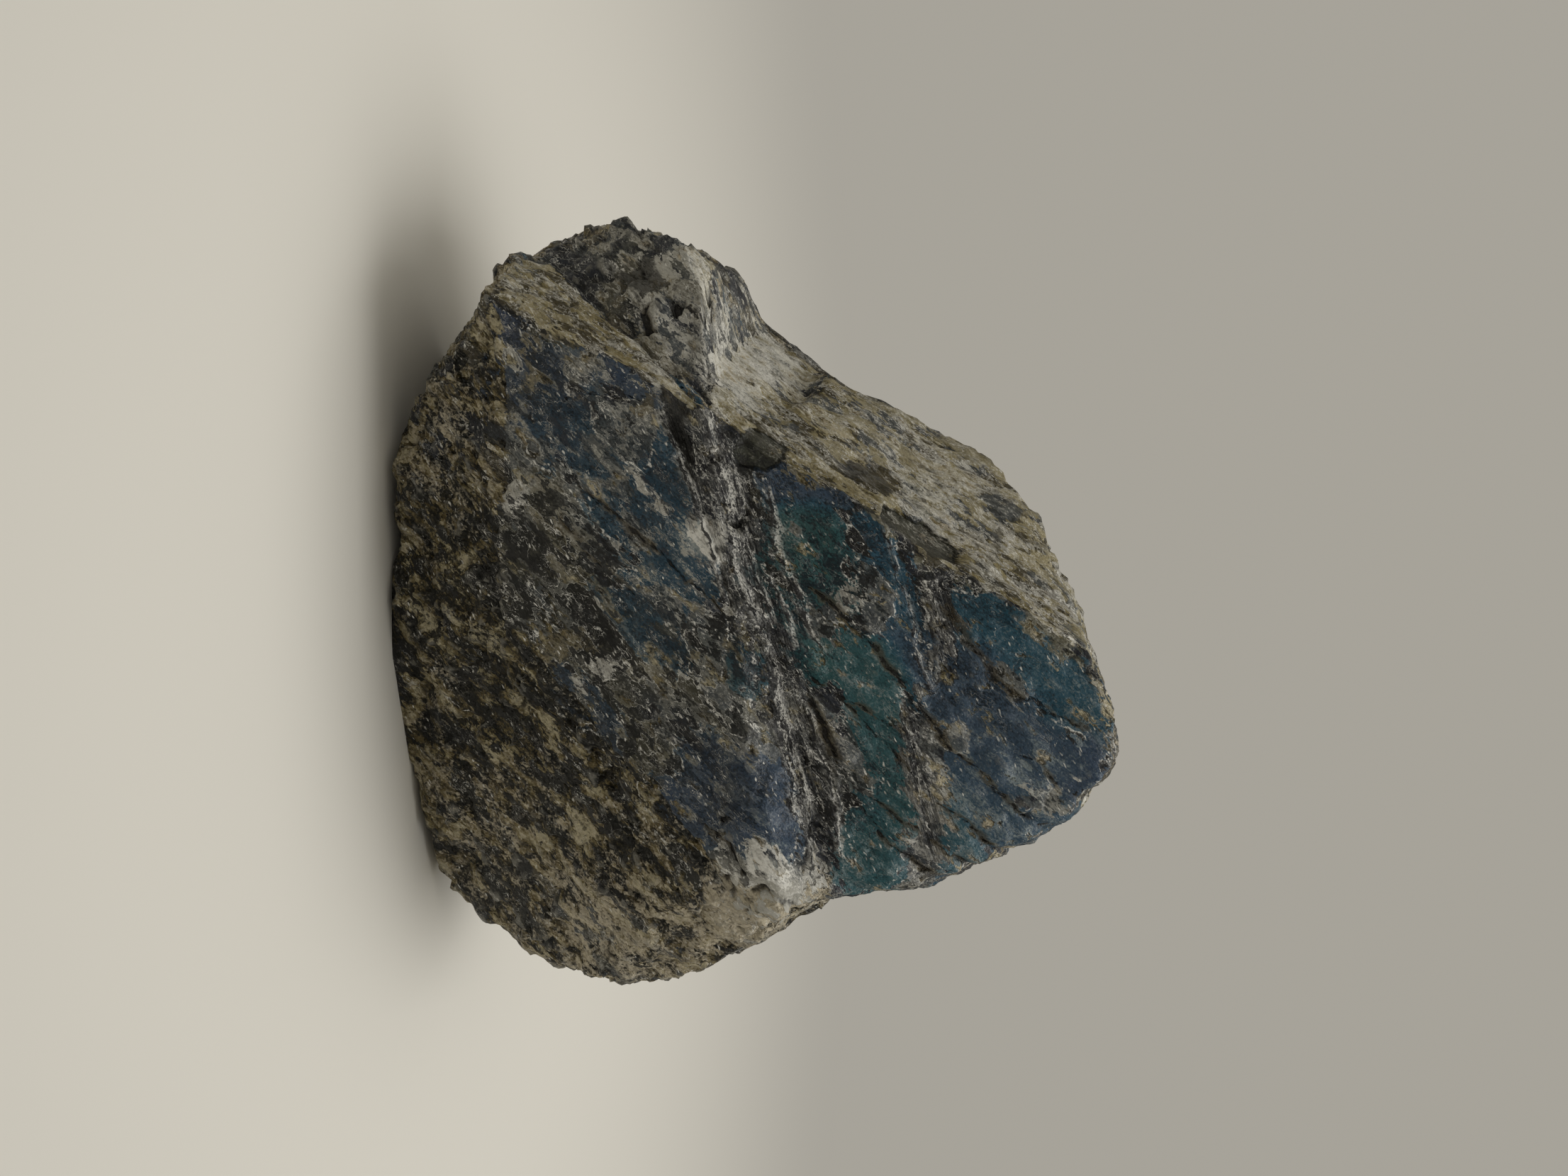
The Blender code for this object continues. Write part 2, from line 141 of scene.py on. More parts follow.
def dice_grid(cells):
    """Directions of six (cells + 1)^2 grids: (1, tan(u pi/4), tan(v pi/4)) turned to each side and
    set to length one. Returns them with the number of each point once edges are shared."""
    line = np.tan(np.linspace(-1, 1, cells + 1) * np.pi / 4)
    u, v = np.meshgrid(line, line, indexing="ij")
    one = np.ones_like(u)
    sides = [(one, u, v), (-one, v, u), (v, one, u), (u, -one, v), (u, v, one), (v, u, -one)]
    grid = np.array([np.stack(side, axis=-1) for side in sides])
    grid /= np.linalg.norm(grid, axis=-1, keepdims=True)
    keys = np.round(grid.reshape(-1, 3) * 1e6).astype(np.int64)
    _, first, number = np.unique(keys, axis=0, return_index=True, return_inverse=True)
    return grid.reshape(-1, 3)[first], number.reshape(6, cells + 1, cells + 1)


def grid_edges(number):
    """Every pair of neighbouring points, each pair once."""
    pairs = [np.stack([number[:, :-1], number[:, 1:]], -1).reshape(-1, 2),
             np.stack([number[:, :, :-1], number[:, :, 1:]], -1).reshape(-1, 2)]
    return np.unique(np.sort(np.concatenate(pairs), axis=1), axis=0)


def relax(directions, edges, rounds):
    """Moves each point to the weighted mean of its neighbours on the skin, again and again."""
    a, b = np.concatenate([edges, edges[:, ::-1]]).T
    for _ in range(rounds):
        points, _ = skin(directions)
        weight = 1 + FRONT_PULL / (1 + np.exp((points[:, 1] + 12) / 3))
        total = np.bincount(a, weight[b], len(points))
        mean = np.stack([np.bincount(a, weight[b] * points[b, k], len(points)) for k in range(3)], 1)
        directions = mean / total[:, None] - HEART
        directions /= np.linalg.norm(directions, axis=1, keepdims=True)
    return directions


def doubled(directions, number):
    """The same grids with a new point between each two: its direction is the mean of theirs."""
    old = directions[number]
    cells = old.shape[1] - 1
    new = np.zeros((6, 2 * cells + 1, 2 * cells + 1, 3))
    new[:, ::2, ::2] = old
    new[:, 1::2, ::2] = (old[:, 1:] + old[:, :-1]) / 2
    new[:, :, 1::2] = (new[:, :, 2::2] + new[:, :, :-1:2]) / 2
    _, finer = dice_grid(2 * cells)
    result = np.zeros((finer.max() + 1, 3))
    result[finer.reshape(-1)] = new.reshape(-1, 3)
    return result / np.linalg.norm(result, axis=1, keepdims=True), finer


# %% Relax the grid, from 8 cells a side up to the full count
directions, number = dice_grid(8)
directions = relax(directions, grid_edges(number), 60)
while number.shape[1] - 1 < CELLS:
    directions, number = doubled(directions, number)
    directions = relax(directions, grid_edges(number), 60)
plain_points, face_of_point = skin(directions)
print(len(plain_points), "points around the stone")

# %% [markdown]
# ## Repeatable chance
# Nothing in a natural stone repeats, but this notebook has to give the same stone each time. The
# chance in it therefore comes from a hash: whole numbers go in, and a number that looks random but
# never changes comes out. Three patterns are built on it. Smooth noise makes swells, layered noise
# makes rough ground, and broken cells make grains and split sheets, with a border between each two.

# %% Noise helpers
def chance(cell, seed):
    """A fixed number from 0 to 1 for each whole-numbered cell: its three numbers are multiplied by
    large odd ones, folded together and mixed by shifts."""
    a, b, c = np.moveaxis(cell.astype(np.int64).astype(np.uint32), -1, 0)
    key = np.uint32(seed * 2654435761 % 2**32)
    mixed = a * np.uint32(374761393) ^ b * np.uint32(668265263) ^ c * np.uint32(2246822519) ^ key
    mixed = (mixed ^ (mixed >> np.uint32(15))) * np.uint32(2246822519)
    mixed = (mixed ^ (mixed >> np.uint32(13))) * np.uint32(3266489917)
    return (mixed ^ (mixed >> np.uint32(16))) / 4294967295.0


def smooth_noise(points, size, seed):
    """Chance at the corners of cubes of this size in mm, blended in between: -1 to 1."""
    place = points / size
    base = np.floor(place)
    t = place - base
    t = t * t * t * (t * (6 * t - 15) + 10)
    total = np.zeros(len(points))
    for corner in np.ndindex(2, 2, 2):
        side = np.array(corner)
        total += np.prod(np.where(side, t, 1 - t), axis=1) * chance(base + side, seed)
    return 2 * total - 1


TURN = np.array(Matrix.Rotation(0.7, 3, Vector((1, 2, 3))))


def layered(points, size, seed, layers=4, keep=0.5):
    """Layers of smooth noise: each is half as wide as the last, keeps a share of its strength, and
    is turned, so that no lattice shows."""
    total, strength = np.zeros(len(points)), 1.0
    for layer in range(layers):
        total += strength * smooth_noise(points, size, seed + layer)
        points, size, strength = points @ TURN + 7.3, size / 2, strength * keep
    return total


def broken_cells(places, seed):
    """One seed point somewhere in each unit cube; every place belongs to the nearest. Returns how
    much nearer it is than the next one (0 on a border), the chance of its cell, and the way from
    the seed point to the place."""
    base = np.floor(places)
    nearest, second = np.full(len(places), 9.0), np.full(len(places), 9.0)
    owner, away = np.zeros(len(places)), np.zeros((len(places), 3))
    for step in np.ndindex(3, 3, 3):
        cell = base + np.array(step) - 1
        spot = cell + np.stack([chance(cell, seed + k) for k in range(3)], axis=1)
        way = places - spot
        distance = np.linalg.norm(way, axis=1)
        closer = distance < nearest
        second = np.where(closer, nearest, np.minimum(second, distance))
        owner = np.where(closer, chance(cell, seed + 3), owner)
        away = np.where(closer[:, None], way, away)
        nearest = np.where(closer, distance, nearest)
    return second - nearest, owner, away


def ramp(value, low, high):
    """0 below low, 1 above high, and a smooth rise between them."""
    t = np.clip((value - low) / (high - low), 0, 1)
    return t * t * (3 - 2 * t)


# %% [markdown]
# ## Directions inside the crystal
# Labradorite splits along parallel planes. On the front they run up to the right at about 47
# degrees, and where a break crosses them it leaves fibres along one line. Patterns below are worked
# out in these directions, so that sheets, cracks and fibres all agree, as they do in a crystal.

# %% The crystal's frame
CLEAVAGE = np.radians(47)
FIBRE = np.cross(bearing(*SLAB["golden_wall"][:2]), bearing(*SLAB["flash_face"][:2]))
FIBRE /= np.linalg.norm(FIBRE)
LAYER_RISE = np.radians(17)


def crystal(points):
    """Each point's place along the cleavage, across it, and in depth, in mm."""
    x, y, z = points.T
    along = x * np.cos(CLEAVAGE) + z * np.sin(CLEAVAGE)
    across = x * np.sin(CLEAVAGE) - z * np.cos(CLEAVAGE)
    return np.stack([along, across, y], axis=1)


def drawn_out(points, line, length, width):
    """Places for a pattern that is `length` mm long along a line and `width` mm wide around it."""
    along = points @ line
    return (points - along[:, None] * line) / width + (along / length)[:, None] * line


# %% Soft masks for the kinds of break
EDGES = grid_edges(number)


def soften(values, rounds):
    """Blurs a value over the stone: each point takes the mean of itself and its neighbours."""
    a, b = np.concatenate([EDGES, EDGES[:, ::-1]]).T
    count = np.bincount(a, minlength=len(values)) + 1
    for _ in range(rounds):
        values = (np.bincount(a, values[b], len(values)) + values) / count
    return values


KINDS = dict(
    cleaved="slab/flash_face slab/right_bevel slab/right_shoulder slab/right_cheek slab/right_side "
            "slab/right_crown slab/top boulder/front boulder/ledge shoulder/top_facet "
            "shoulder/inset boulder/back slab/back_upper slab/back_right",
    fibrous="slab/golden_wall slab/left_crown slab/top_slope flank/left_face flank/left_limit "
            "flank/crown flank/slope boulder/golden_foot shoulder/top_tilt flank/back_slope",
    granular="boulder/granular_front boulder/bulge_front boulder/bulge_top boulder/bulge_upper "
             "boulder/right_flank boulder/right_lower boulder/right_foot boulder/right_heel "
             "boulder/chin boulder/under_left boulder/lifted_base boulder/back_low "
             "boulder/back_heel boulder/back_left_low boulder/right_limit boulder/back_right_low "
             "shoulder/inner_chin shoulder/block_low shoulder/under_left shoulder/chin_left "
             "shoulder/block_back_low shoulder/back_low shoulder/heel boulder/resting_face",
)
kind = {}
for name, faces in KINDS.items():
    listed = np.array([face in faces.split() for face in FACE_NAMES])
    kind[name] = soften(listed[face_of_point].astype(float), 5)
kind["rough"] = np.clip(1 - kind["cleaved"] - kind["fibrous"] - kind["granular"], 0, 1)
print("shares", {name: round(float(share.mean()), 2) for name, share in kind.items()})

# %% [markdown]
# ## Uneven faces
# No break is quite flat. Each plane's distance therefore swells and sinks by up to a millimetre or
# so, and because every face has its own mix of two noise fields, the edges where faces meet wander
# as well. Smoothing the edges afterwards is not needed: the mesh rounds them by half a cell.

# %% Swell the faces
SWELL_SIZE = 15.0
SWELL = dict(cleaved=0.18, fibrous=0.35, granular=1.0, rough=0.8)
BASE_CUT = 0.3            # mm taken off the bottom so that the stone rests flat
BASE_CALM = 3.0           # mm above the floor in which the relief grows to its full height

calm = ramp(plain_points[:, 2], BASE_CUT, BASE_CALM)
height_of_swell = calm * sum(kind[name] * SWELL[name] for name in SWELL)
fields = np.stack([layered(plain_points, SWELL_SIZE, seed, 3) for seed in (11, 31)], axis=1)
mix = 2.4 * np.arange(len(FACE_NAMES))
swell = height_of_swell[:, None] * (fields @ np.stack([np.cos(mix), np.sin(mix)]))
base_points, face_of_point = skin(directions, swell)
reach = soften(np.linalg.norm(base_points - HEART, axis=1), 1)
base_points = HEART + directions * reach[:, None]


def outward(points):
    """The surface's normal at each point: the sum of its cells' normals, each the cross product of
    the cell's two diagonals."""
    quad = points[number]
    one = quad[:, 1:, 1:] - quad[:, :-1, :-1]
    two = quad[:, :-1, 1:] - quad[:, 1:, :-1]
    cell = np.cross(one, two).reshape(-1, 3)
    total = np.zeros_like(points)
    for corner in (number[:, :-1, :-1], number[:, 1:, :-1], number[:, :-1, 1:], number[:, 1:, 1:]):
        for k in range(3):
            total[:, k] += np.bincount(corner.reshape(-1), cell[:, k], len(points))
    total /= np.linalg.norm(total, axis=1, keepdims=True)
    return total * np.sign(np.sum(total * (points - HEART), axis=1))[:, None]


normals = outward(base_points)
lean = np.clip(np.sum(normals * directions, axis=1), 0.35, 1)
front = ramp(-normals[:, 1], 0.02, 0.14) * ramp(-base_points[:, 1], -9, -3)
print("swell up to", round(float(np.abs(swell).max()), 2), "mm")

# %% [markdown]
# ## Marks seen by the camera
# Cracks, breaks and patches of colour are placed one by one, as a mason would mark them. Most are given
# as the camera sees them, in its picture set upright: pixels to the right and pixels down. Each
# pixel is a line of sight, and the mark lies where that line first meets the plain stone. Some are
# given in millimetres instead, as (x, z) seen from the front.

# %% Where the camera stands, and where its lines of sight end
LOOK_AT = np.array([-1.8, -8.5, 55.2])
DISTANCE = 330.0
TILT_DOWN = np.radians(12)
FOCAL_PIXELS = 3168
PICTURE_WIDTH, PICTURE_HEIGHT = 2212, 1659
BESIDE = 311.0            # mm from the lens where a line of sight that misses the stone is ended
to_right = np.array([0, np.sin(TILT_DOWN), np.cos(TILT_DOWN)])
to_top = np.array([-1.0, 0, 0])
to_viewer = np.array([0, -np.cos(TILT_DOWN), np.sin(TILT_DOWN)])
LENS_PLACE = LOOK_AT + DISTANCE * to_viewer


def seen_at(picture_points):
    """The (x, z) in mm that picture points mark. The picture lies on its side, so a point at
    (right, down) looks along across * to_right + up * to_top - to_viewer. A plane at distance d from
    the heart is passed at t = (d - normal . start) / (normal . way). The sight enters a lump at the
    last plane that it passes from outside, and leaves it at the first that it passes from inside."""
    right, down = np.array(picture_points, float).T
    across = (PICTURE_WIDTH - 1 - down - PICTURE_WIDTH / 2) / FOCAL_PIXELS
    up = (PICTURE_HEIGHT / 2 - right) / FOCAL_PIXELS
    way = across[:, None] * to_right + up[:, None] * to_top - to_viewer
    start = LENS_PLACE + (0, 0, BASE_CUT) - HEART
    first = np.full(len(way), np.inf)
    for planes in LUMPS.values():
        numbers = np.array(list(planes.values()), float)
        normal = bearing(numbers[:, 0], numbers[:, 1])
        closing = way @ normal.T
        passed = (numbers[:, 2] - normal @ start) / closing
        enters = np.where(closing < 0, passed, -np.inf).max(axis=1)
        leaves = np.where(closing > 0, passed, np.inf).min(axis=1)
        first = np.minimum(first, np.where(enters < leaves, enters, np.inf))
    first = np.where(np.isfinite(first), first, BESIDE)
    return (LENS_PLACE + way * first[:, None])[:, [0, 2]]


# %% Lines marked in the picture
LINES_SEEN = dict(
    long_crack=[(802, 1092), (823, 1071), (877, 1011), (967, 941), (1070, 855), (1179, 730)],
    crown_crack=[(817, 896), (877, 848), (960, 798), (1013, 711), (1047, 638)],
    rim_crack_top=[(1133, 882), (1147, 865), (1195, 807), (1225, 777)],
    rim_crack_middle=[(1127, 976), (1163, 928), (1215, 853), (1243, 823)],
    rim_crack_low=[(1124, 1010), (1200, 945), (1229, 906), (1253, 884)],
    inner_crack=[(934, 1097), (947, 1075), (977, 1028), (1033, 978), (1099, 914)],
    inner_branch=[(979, 1025), (1030, 941)],
    front_crack=[(673, 1405), (680, 1397), (786, 1270), (870, 1189)],
    front_hairline=[(709, 1450), (807, 1347), (865, 1295)],
    dark_gap=[(961, 1070), (1090, 1021)],
    hole_crack=[(420, 1292), (438, 1303), (472, 1286)],
    chin_crack=[(696, 1536), (830, 1509), (928, 1498), (998, 1484)],
    front_left_crack=[(556, 1298), (559, 1375), (554, 1427)],
    block_crack=[(1164, 1221), (1196, 1179), (1246, 1156)],
    crown_hairline=[(1062, 764), (1117, 700), (1133, 674)],
    upper_break=[(810, 896), (889, 884), (967, 892)],
    left_break=[(735, 962), (780, 952), (907, 909)],
    right_break=[(980, 944), (1072, 918), (1193, 899)],
    low_break=[(805, 1119), (862, 1098), (920, 1086)],
    ledge_break=[(980, 1109), (1113, 1072), (1242, 1061)],
    ledge_break_left=[(636, 1185), (765, 1155), (885, 1116)],
    front_break=[(563, 1283), (682, 1238), (875, 1171)],
    front_break_upper=[(562, 1208), (683, 1186), (785, 1175), (889, 1136)],
    ledge_hairline=[(909, 1128), (1033, 1108), (1156, 1084)],
    teal_hairline=[(662, 1126), (766, 1110), (848, 1074), (930, 1053)],
    right_hairline=[(991, 1065), (1093, 1039), (1235, 1017)],
    upper_hairline=[(868, 928), (940, 913), (981, 896)],
)

# %% Outlines marked in the picture
OUTLINES_SEEN = dict(
    slot=[(768, 844), (795, 848), (780, 885), (746, 937), (733, 962), (704, 961), (733, 898)],
    concave=[(597, 1163), (609, 1109), (640, 1095), (654, 1123), (652, 1167), (620, 1177)],
    block=[(1190, 1162), (1199, 1098), (1250, 1076), (1268, 1112), (1244, 1152), (1206, 1173)],
    crown_sheet=[(912, 716), (945, 684), (1000, 657), (1033, 665), (1018, 708), (985, 745), (950, 752),
                 (928, 792), (900, 812), (876, 838), (836, 850), (850, 800), (880, 760)],
    upper_sheet=[(1052, 690), (1080, 682), (1108, 700), (1106, 735), (1098, 790), (1070, 835),
                 (1040, 860), (1008, 890), (985, 905), (930, 935), (880, 955), (900, 885), (925, 850),
                 (915, 815), (960, 790), (1000, 740), (1030, 712)],
    left_sheet=[(880, 955), (830, 965), (775, 985), (720, 1010), (735, 975), (800, 935), (860, 915),
                (905, 905)],
    crown_tip=[(1040, 670), (1100, 663), (1116, 690), (1052, 690)],
    rim_sheet=[(1162, 720), (1200, 763), (1210, 800), (1180, 815), (1150, 845), (1128, 835),
               (1140, 790), (1139, 760)],
    small_sheet=[(1060, 800), (1110, 770), (1128, 800), (1100, 850), (1068, 862)],
    rim_scale=[(1150, 850), (1180, 835), (1215, 835), (1226, 860), (1190, 880), (1150, 880)],
    teal_band=[(908, 992), (935, 962), (1000, 940), (1060, 935), (1100, 925), (1150, 920), (1165, 935),
               (1100, 960), (1092, 985), (1050, 992), (1000, 1008), (935, 1025), (903, 1018)],
    teal_right=[(1140, 995), (1168, 962), (1195, 955), (1225, 950), (1249, 965), (1256, 1010),
                (1215, 1018), (1180, 1018), (1150, 1008)],
    teal_left=[(712, 1095), (722, 1050), (745, 1022), (800, 1020), (852, 1012), (850, 1055),
               (812, 1082), (760, 1105), (725, 1112)],
    teal_spot=[(888, 1062), (905, 1036), (950, 1030), (955, 1050), (930, 1072), (895, 1080)],
    teal_low=[(780, 1135), (830, 1120), (900, 1092), (930, 1092), (860, 1130), (800, 1150)],
    left_tip=[(640, 1110), (650, 1060), (690, 1020), (715, 1010), (705, 1060), (700, 1110), (660, 1125)],
    front_sheet=[(626, 1290), (680, 1246), (740, 1233), (800, 1214), (839, 1205), (817, 1266),
                 (775, 1312), (713, 1357), (640, 1388), (601, 1389)],
    teal_chip=[(905, 1160), (955, 1155), (950, 1180), (910, 1190)],
    right_sheet=[(1055, 1230), (1060, 1150), (1090, 1110), (1160, 1085), (1191, 1110), (1180, 1170),
                 (1184, 1230), (1150, 1280), (1120, 1285), (1110, 1230)],
    foot_sheet=[(432, 1515), (460, 1483), (500, 1477), (491, 1526)],
    foot_strip=[(500, 1370), (540, 1320), (560, 1290), (545, 1340), (510, 1380)],
    left_plate=[(788, 1000), (800, 975), (835, 958), (862, 955), (895, 985), (885, 1002), (850, 1012),
                (810, 1005)],
    square_plate=[(1028, 840), (1066, 842), (1062, 878), (1032, 880)],
    long_film=[(1010, 905), (1050, 870), (1090, 860), (1140, 880), (1205, 890), (1225, 905),
               (1130, 915), (1060, 925), (990, 935)],
    crown_film=[(928, 795), (955, 760), (1000, 738), (985, 770), (950, 795)],
    rim_film=[(1112, 745), (1120, 710), (1150, 718), (1140, 760), (1120, 780)],
    teal_film=[(1120, 1010), (1150, 1005), (1200, 1020), (1190, 1045), (1140, 1050)],
    inner_film=[(1030, 1010), (1110, 975), (1120, 1000), (1060, 1020), (1000, 1030)],
    front_plate=[(560, 1380), (560, 1300), (600, 1280), (678, 1291), (659, 1331), (620, 1370)],
    slab_plate=[(860, 1230), (880, 1182), (960, 1194), (1050, 1130), (1060, 1170), (1000, 1200),
                (950, 1230), (900, 1250)],
    small_plate=[(510, 1400), (520, 1380), (555, 1370), (558, 1395), (530, 1410)],
    corner_plate=[(575, 1230), (590, 1200), (625, 1195), (670, 1228), (640, 1235)],
    low_plate=[(1097, 1020), (1200, 1020), (1190, 1045), (1120, 1060), (1053, 1072)],
    white_flake=[(808, 888), (830, 876), (880, 872), (925, 852), (932, 868), (905, 884), (968, 890),
                 (950, 902), (880, 903), (820, 905)],
    white_chip=[(980, 930), (1010, 920), (1015, 930), (985, 942)],
    wall_streak=[(740, 795), (800, 815), (820, 790), (850, 795), (800, 830), (745, 812)],
    # Partly a white bruise, partly a painted highlight: the top of the ledge where light falls on it.
    white_band=[(720, 1222), (740, 1202), (800, 1195), (870, 1172), (880, 1182), (820, 1205), (760, 1225)],
    chin_flake=[(675, 1530), (680, 1480), (705, 1465), (720, 1480), (705, 1520), (685, 1540)],
    pale_lump=[(1200, 1200), (1230, 1160), (1260, 1150), (1240, 1200)],
    pale_spots=[(1195, 1190), (1205, 1165), (1240, 1160), (1250, 1180), (1220, 1200)],
    pale_block=[(1190, 1160), (1200, 1100), (1230, 1092), (1238, 1110), (1220, 1150)],
    wall_band=[(884, 713), (914, 682), (945, 664), (919, 708), (854, 798), (810, 890), (740, 965),
               (690, 1026), (650, 1091), (627, 1138), (602, 1114), (632, 1054), (700, 955), (790, 846),
               (840, 747)],
    foot_band=[(560, 1200), (583, 1193), (544, 1262), (504, 1341), (444, 1453), (390, 1500),
               (385, 1470), (440, 1350), (500, 1260)],
    ledge_skin=[(850, 1170), (900, 1120), (920, 1140), (900, 1180), (850, 1200)],
    chin_skin=[(745, 1625), (780, 1590), (860, 1570), (900, 1590), (850, 1640)],
    wall_hollow=[(700, 960), (690, 985), (640, 1040), (660, 970), (690, 940)],
    front_hollow=[(545, 1275), (570, 1251), (640, 1232), (670, 1237), (620, 1258), (560, 1280)],
)

# %% Marks placed in millimetres: the corners (x, z)
MARKS_PLACED = dict(
    shoulder_crack=[(-43.4, 42.0), (-41.5, 45.0), (-40.4, 49.6)],
    triangle_sheet=[(-27.4, 33.9), (-19.0, 34.0), (-20.0, 28.6), (-24.1, 25.6), (-29.4, 26.6)],
    low_sheet=[(-38.0, 19.0), (-31.0, 24.0), (-24.0, 24.0), (-27.0, 17.0), (-34.0, 13.0)],
    middle_sheet=[(-2.0, 40.0), (2.0, 46.0), (8.0, 47.0), (4.0, 40.0), (-1.0, 36.0)],
    left_strip=[(-34.6, 24.8), (-33.0, 29.6), (-28.0, 30.6), (-29.8, 25.4)],
    grain_sheet=[(10.0, 28.0), (13.0, 33.0), (19.0, 36.4), (17.0, 31.0)],
    spot_film=[(2.0, 68.6), (5.0, 66.0), (4.4, 63.0), (1.4, 62.6), (0.6, 66.0)],
    low_film=[(-23.5, 29.0), (-19.0, 28.0), (-17.5, 22.5), (-22.0, 23.0)],
    bulge_chip=[(42.0, 53.0), (46.5, 55.0), (48.5, 51.0), (44.0, 50.5)],
    plate_chip=[(-2.0, 68.6), (0.4, 69.4), (1.6, 67.4), (-0.6, 66.6)],
    front_chip=[(7.0, 36.0), (9.0, 38.0), (10.6, 35.0), (8.4, 33.4)],
    front_speck=[(0.0, 34.0), (3.0, 35.4), (3.4, 33.4), (0.8, 32.6)],
    gap_skin=[(14.8, 62.0), (18.0, 66.4), (20.0, 66.0), (17.0, 61.4)],
    grain_skin=[(9.0, 24.0), (18.0, 33.6), (27.0, 41.0), (36.0, 46.6), (37.0, 44.6), (26.0, 37.0),
                (17.0, 29.0)],
    flake_hollow=[(-3.9, 83.0), (2.9, 83.6), (3.4, 83.0), (-3.6, 82.4)],
    shoulder_hollow=[(-49.0, 37.0), (-45.0, 41.0), (-43.0, 38.0), (-46.0, 34.0)],
    gap_hollow=[(15.6, 62.8), (24.6, 67.4), (24.4, 66.9), (16.0, 62.2)],
    block_hollow=[(33.6, 53.8), (38.4, 55.8), (38.8, 54.8), (34.4, 52.8)],
    ledge_layers=[(-28.5, 50.0), (-20.0, 54.0), (-6.0, 57.5), (8.0, 61.0), (22.0, 64.5), (36.0, 66.0),
                  (40.0, 62.5), (24.0, 61.0), (6.0, 57.0), (-4.0, 52.5), (-16.0, 47.5), (-29.0, 43.5)],
    shoulder_layers=[(-37.0, 46.5), (-33.0, 49.5), (-27.0, 51.0), (-27.0, 49.5), (-33.0, 47.0)],
    upper_layers=[(-4.5, 83.2), (9.0, 84.2), (12.5, 80.0), (9.0, 78.0), (-3.5, 78.0)],
    right_layers=[(12.0, 76.4), (34.0, 81.5), (37.5, 78.5), (20.0, 75.0)],
)
marks = {name: seen_at(points) for name, points in {**LINES_SEEN, **OUTLINES_SEEN}.items()}
marks.update({name: np.array(points) for name, points in MARKS_PLACED.items()})
print(len(marks), "marks")

# %% [markdown]
# ## Measuring the marks
# A crack is a line through a few points, a patch is an outline. Both are measured as distances,
# because a distance can later be turned into a groove, a step, a soft stain or a crisp edge.

# %% Distances to lines and outlines
WAVER = np.stack([0.55 * smooth_noise(base_points, 3.4, k) + 0.25 * smooth_noise(base_points, 1.1, k + 1)
                  for k in (5, 7)], axis=1)
seen = base_points[:, [0, 2]] - np.array([0, BASE_CUT]) + WAVER


def to_line(corners):
    """Distance in mm to a line through some points, the share of its length where it is met, and
    the side: 1 to the upper left of a line drawn from left to right, -1 to its lower right."""
    lengths = np.linalg.norm(np.diff(corners, axis=0), axis=1)
    distance, share, side = np.full(len(seen), 99.0), np.zeros(len(seen)), np.ones(len(seen))
    done = 0.0
    for start, stop, length in zip(corners[:-1], corners[1:], lengths):
        way = (stop - start) / length
        t = np.clip((seen - start) @ way, 0, length)
        apart = seen - start - t[:, None] * way
        gap = np.linalg.norm(apart, axis=1)
        closer = gap < distance
        distance = np.where(closer, gap, distance)
        share = np.where(closer, (done + t) / lengths.sum(), share)
        side = np.where(closer, np.sign(way[0] * apart[:, 1] - way[1] * apart[:, 0]), side)
        done += length
    return distance, share, side


def within(corners):
    """Distance in mm to the rim of an outline: positive inside it, negative outside."""
    distance, crossings = np.full(len(seen), 99.0), np.zeros(len(seen), int)
    for start, stop in zip(corners, np.roll(corners, -1, axis=0)):
        way = stop - start
        t = np.clip((seen - start) @ way / (way @ way), 0, 1)
        distance = np.minimum(distance, np.linalg.norm(seen - start - t[:, None] * way, axis=1))
        spans = (start[1] > seen[:, 1]) != (stop[1] > seen[:, 1])
        rise = way[1] if way[1] else 1e-9
        crossings += spans & (seen[:, 0] < start[0] + (seen[:, 1] - start[1]) * way[0] / rise)
    return np.where(crossings % 2 == 1, distance, -distance)


# %% [markdown]
# ## Cracks and steps
# The long cracks follow the cleavage. The stone above each one stands proud and falls away over a
# centimetre, and the stone below it is sunk, so the face is a flight of shallow steps. Across them
# run flatter breaks, bruised pale along the edge and painted pale there as a highlight, with a
# painted shadow just below the edge.

# %% The cracks of the front
# Each crack: its half width, its depth and the rise of the step over it, in mm.
CRACKS = dict(
    long_crack=(0.18, 0.8, 0.18), crown_crack=(0.18, 0.8, 0.16), rim_crack_top=(0.15, 0.6, 0.10),
    rim_crack_middle=(0.15, 0.6, 0.12), rim_crack_low=(0.15, 0.6, 0.12), inner_crack=(0.15, 0.6, 0.12),
    inner_branch=(0.12, 0.3, 0.12), front_crack=(0.18, 0.7, 0.15), front_hairline=(0.10, 0.2, 0.15),
    dark_gap=(0.26, 1.0, 0.40), shoulder_crack=(0.40, 1.6, 0.30), hole_crack=(0.50, 2.2, 0.40),
    chin_crack=(0.15, 0.5, 0.45), front_left_crack=(0.14, 0.4, -0.30), block_crack=(0.40, 1.5, 0.40),
    crown_hairline=(0.10, 0.3, 0.15),
)
# Flatter breaks: the stone under each line stands proud by this many mm, and its edge is bruised pale,
# partly as a painted highlight.
BREAKS = dict(
    upper_break=0.40, left_break=0.30, right_break=0.45, low_break=0.35, ledge_break=0.60,
    ledge_break_left=0.45, front_break=0.60, front_break_upper=0.25, ledge_hairline=0.20,
    teal_hairline=0.15, right_hairline=0.20, upper_hairline=0.15,
)
STEP_FALL = 8.0           # mm over which a step runs out

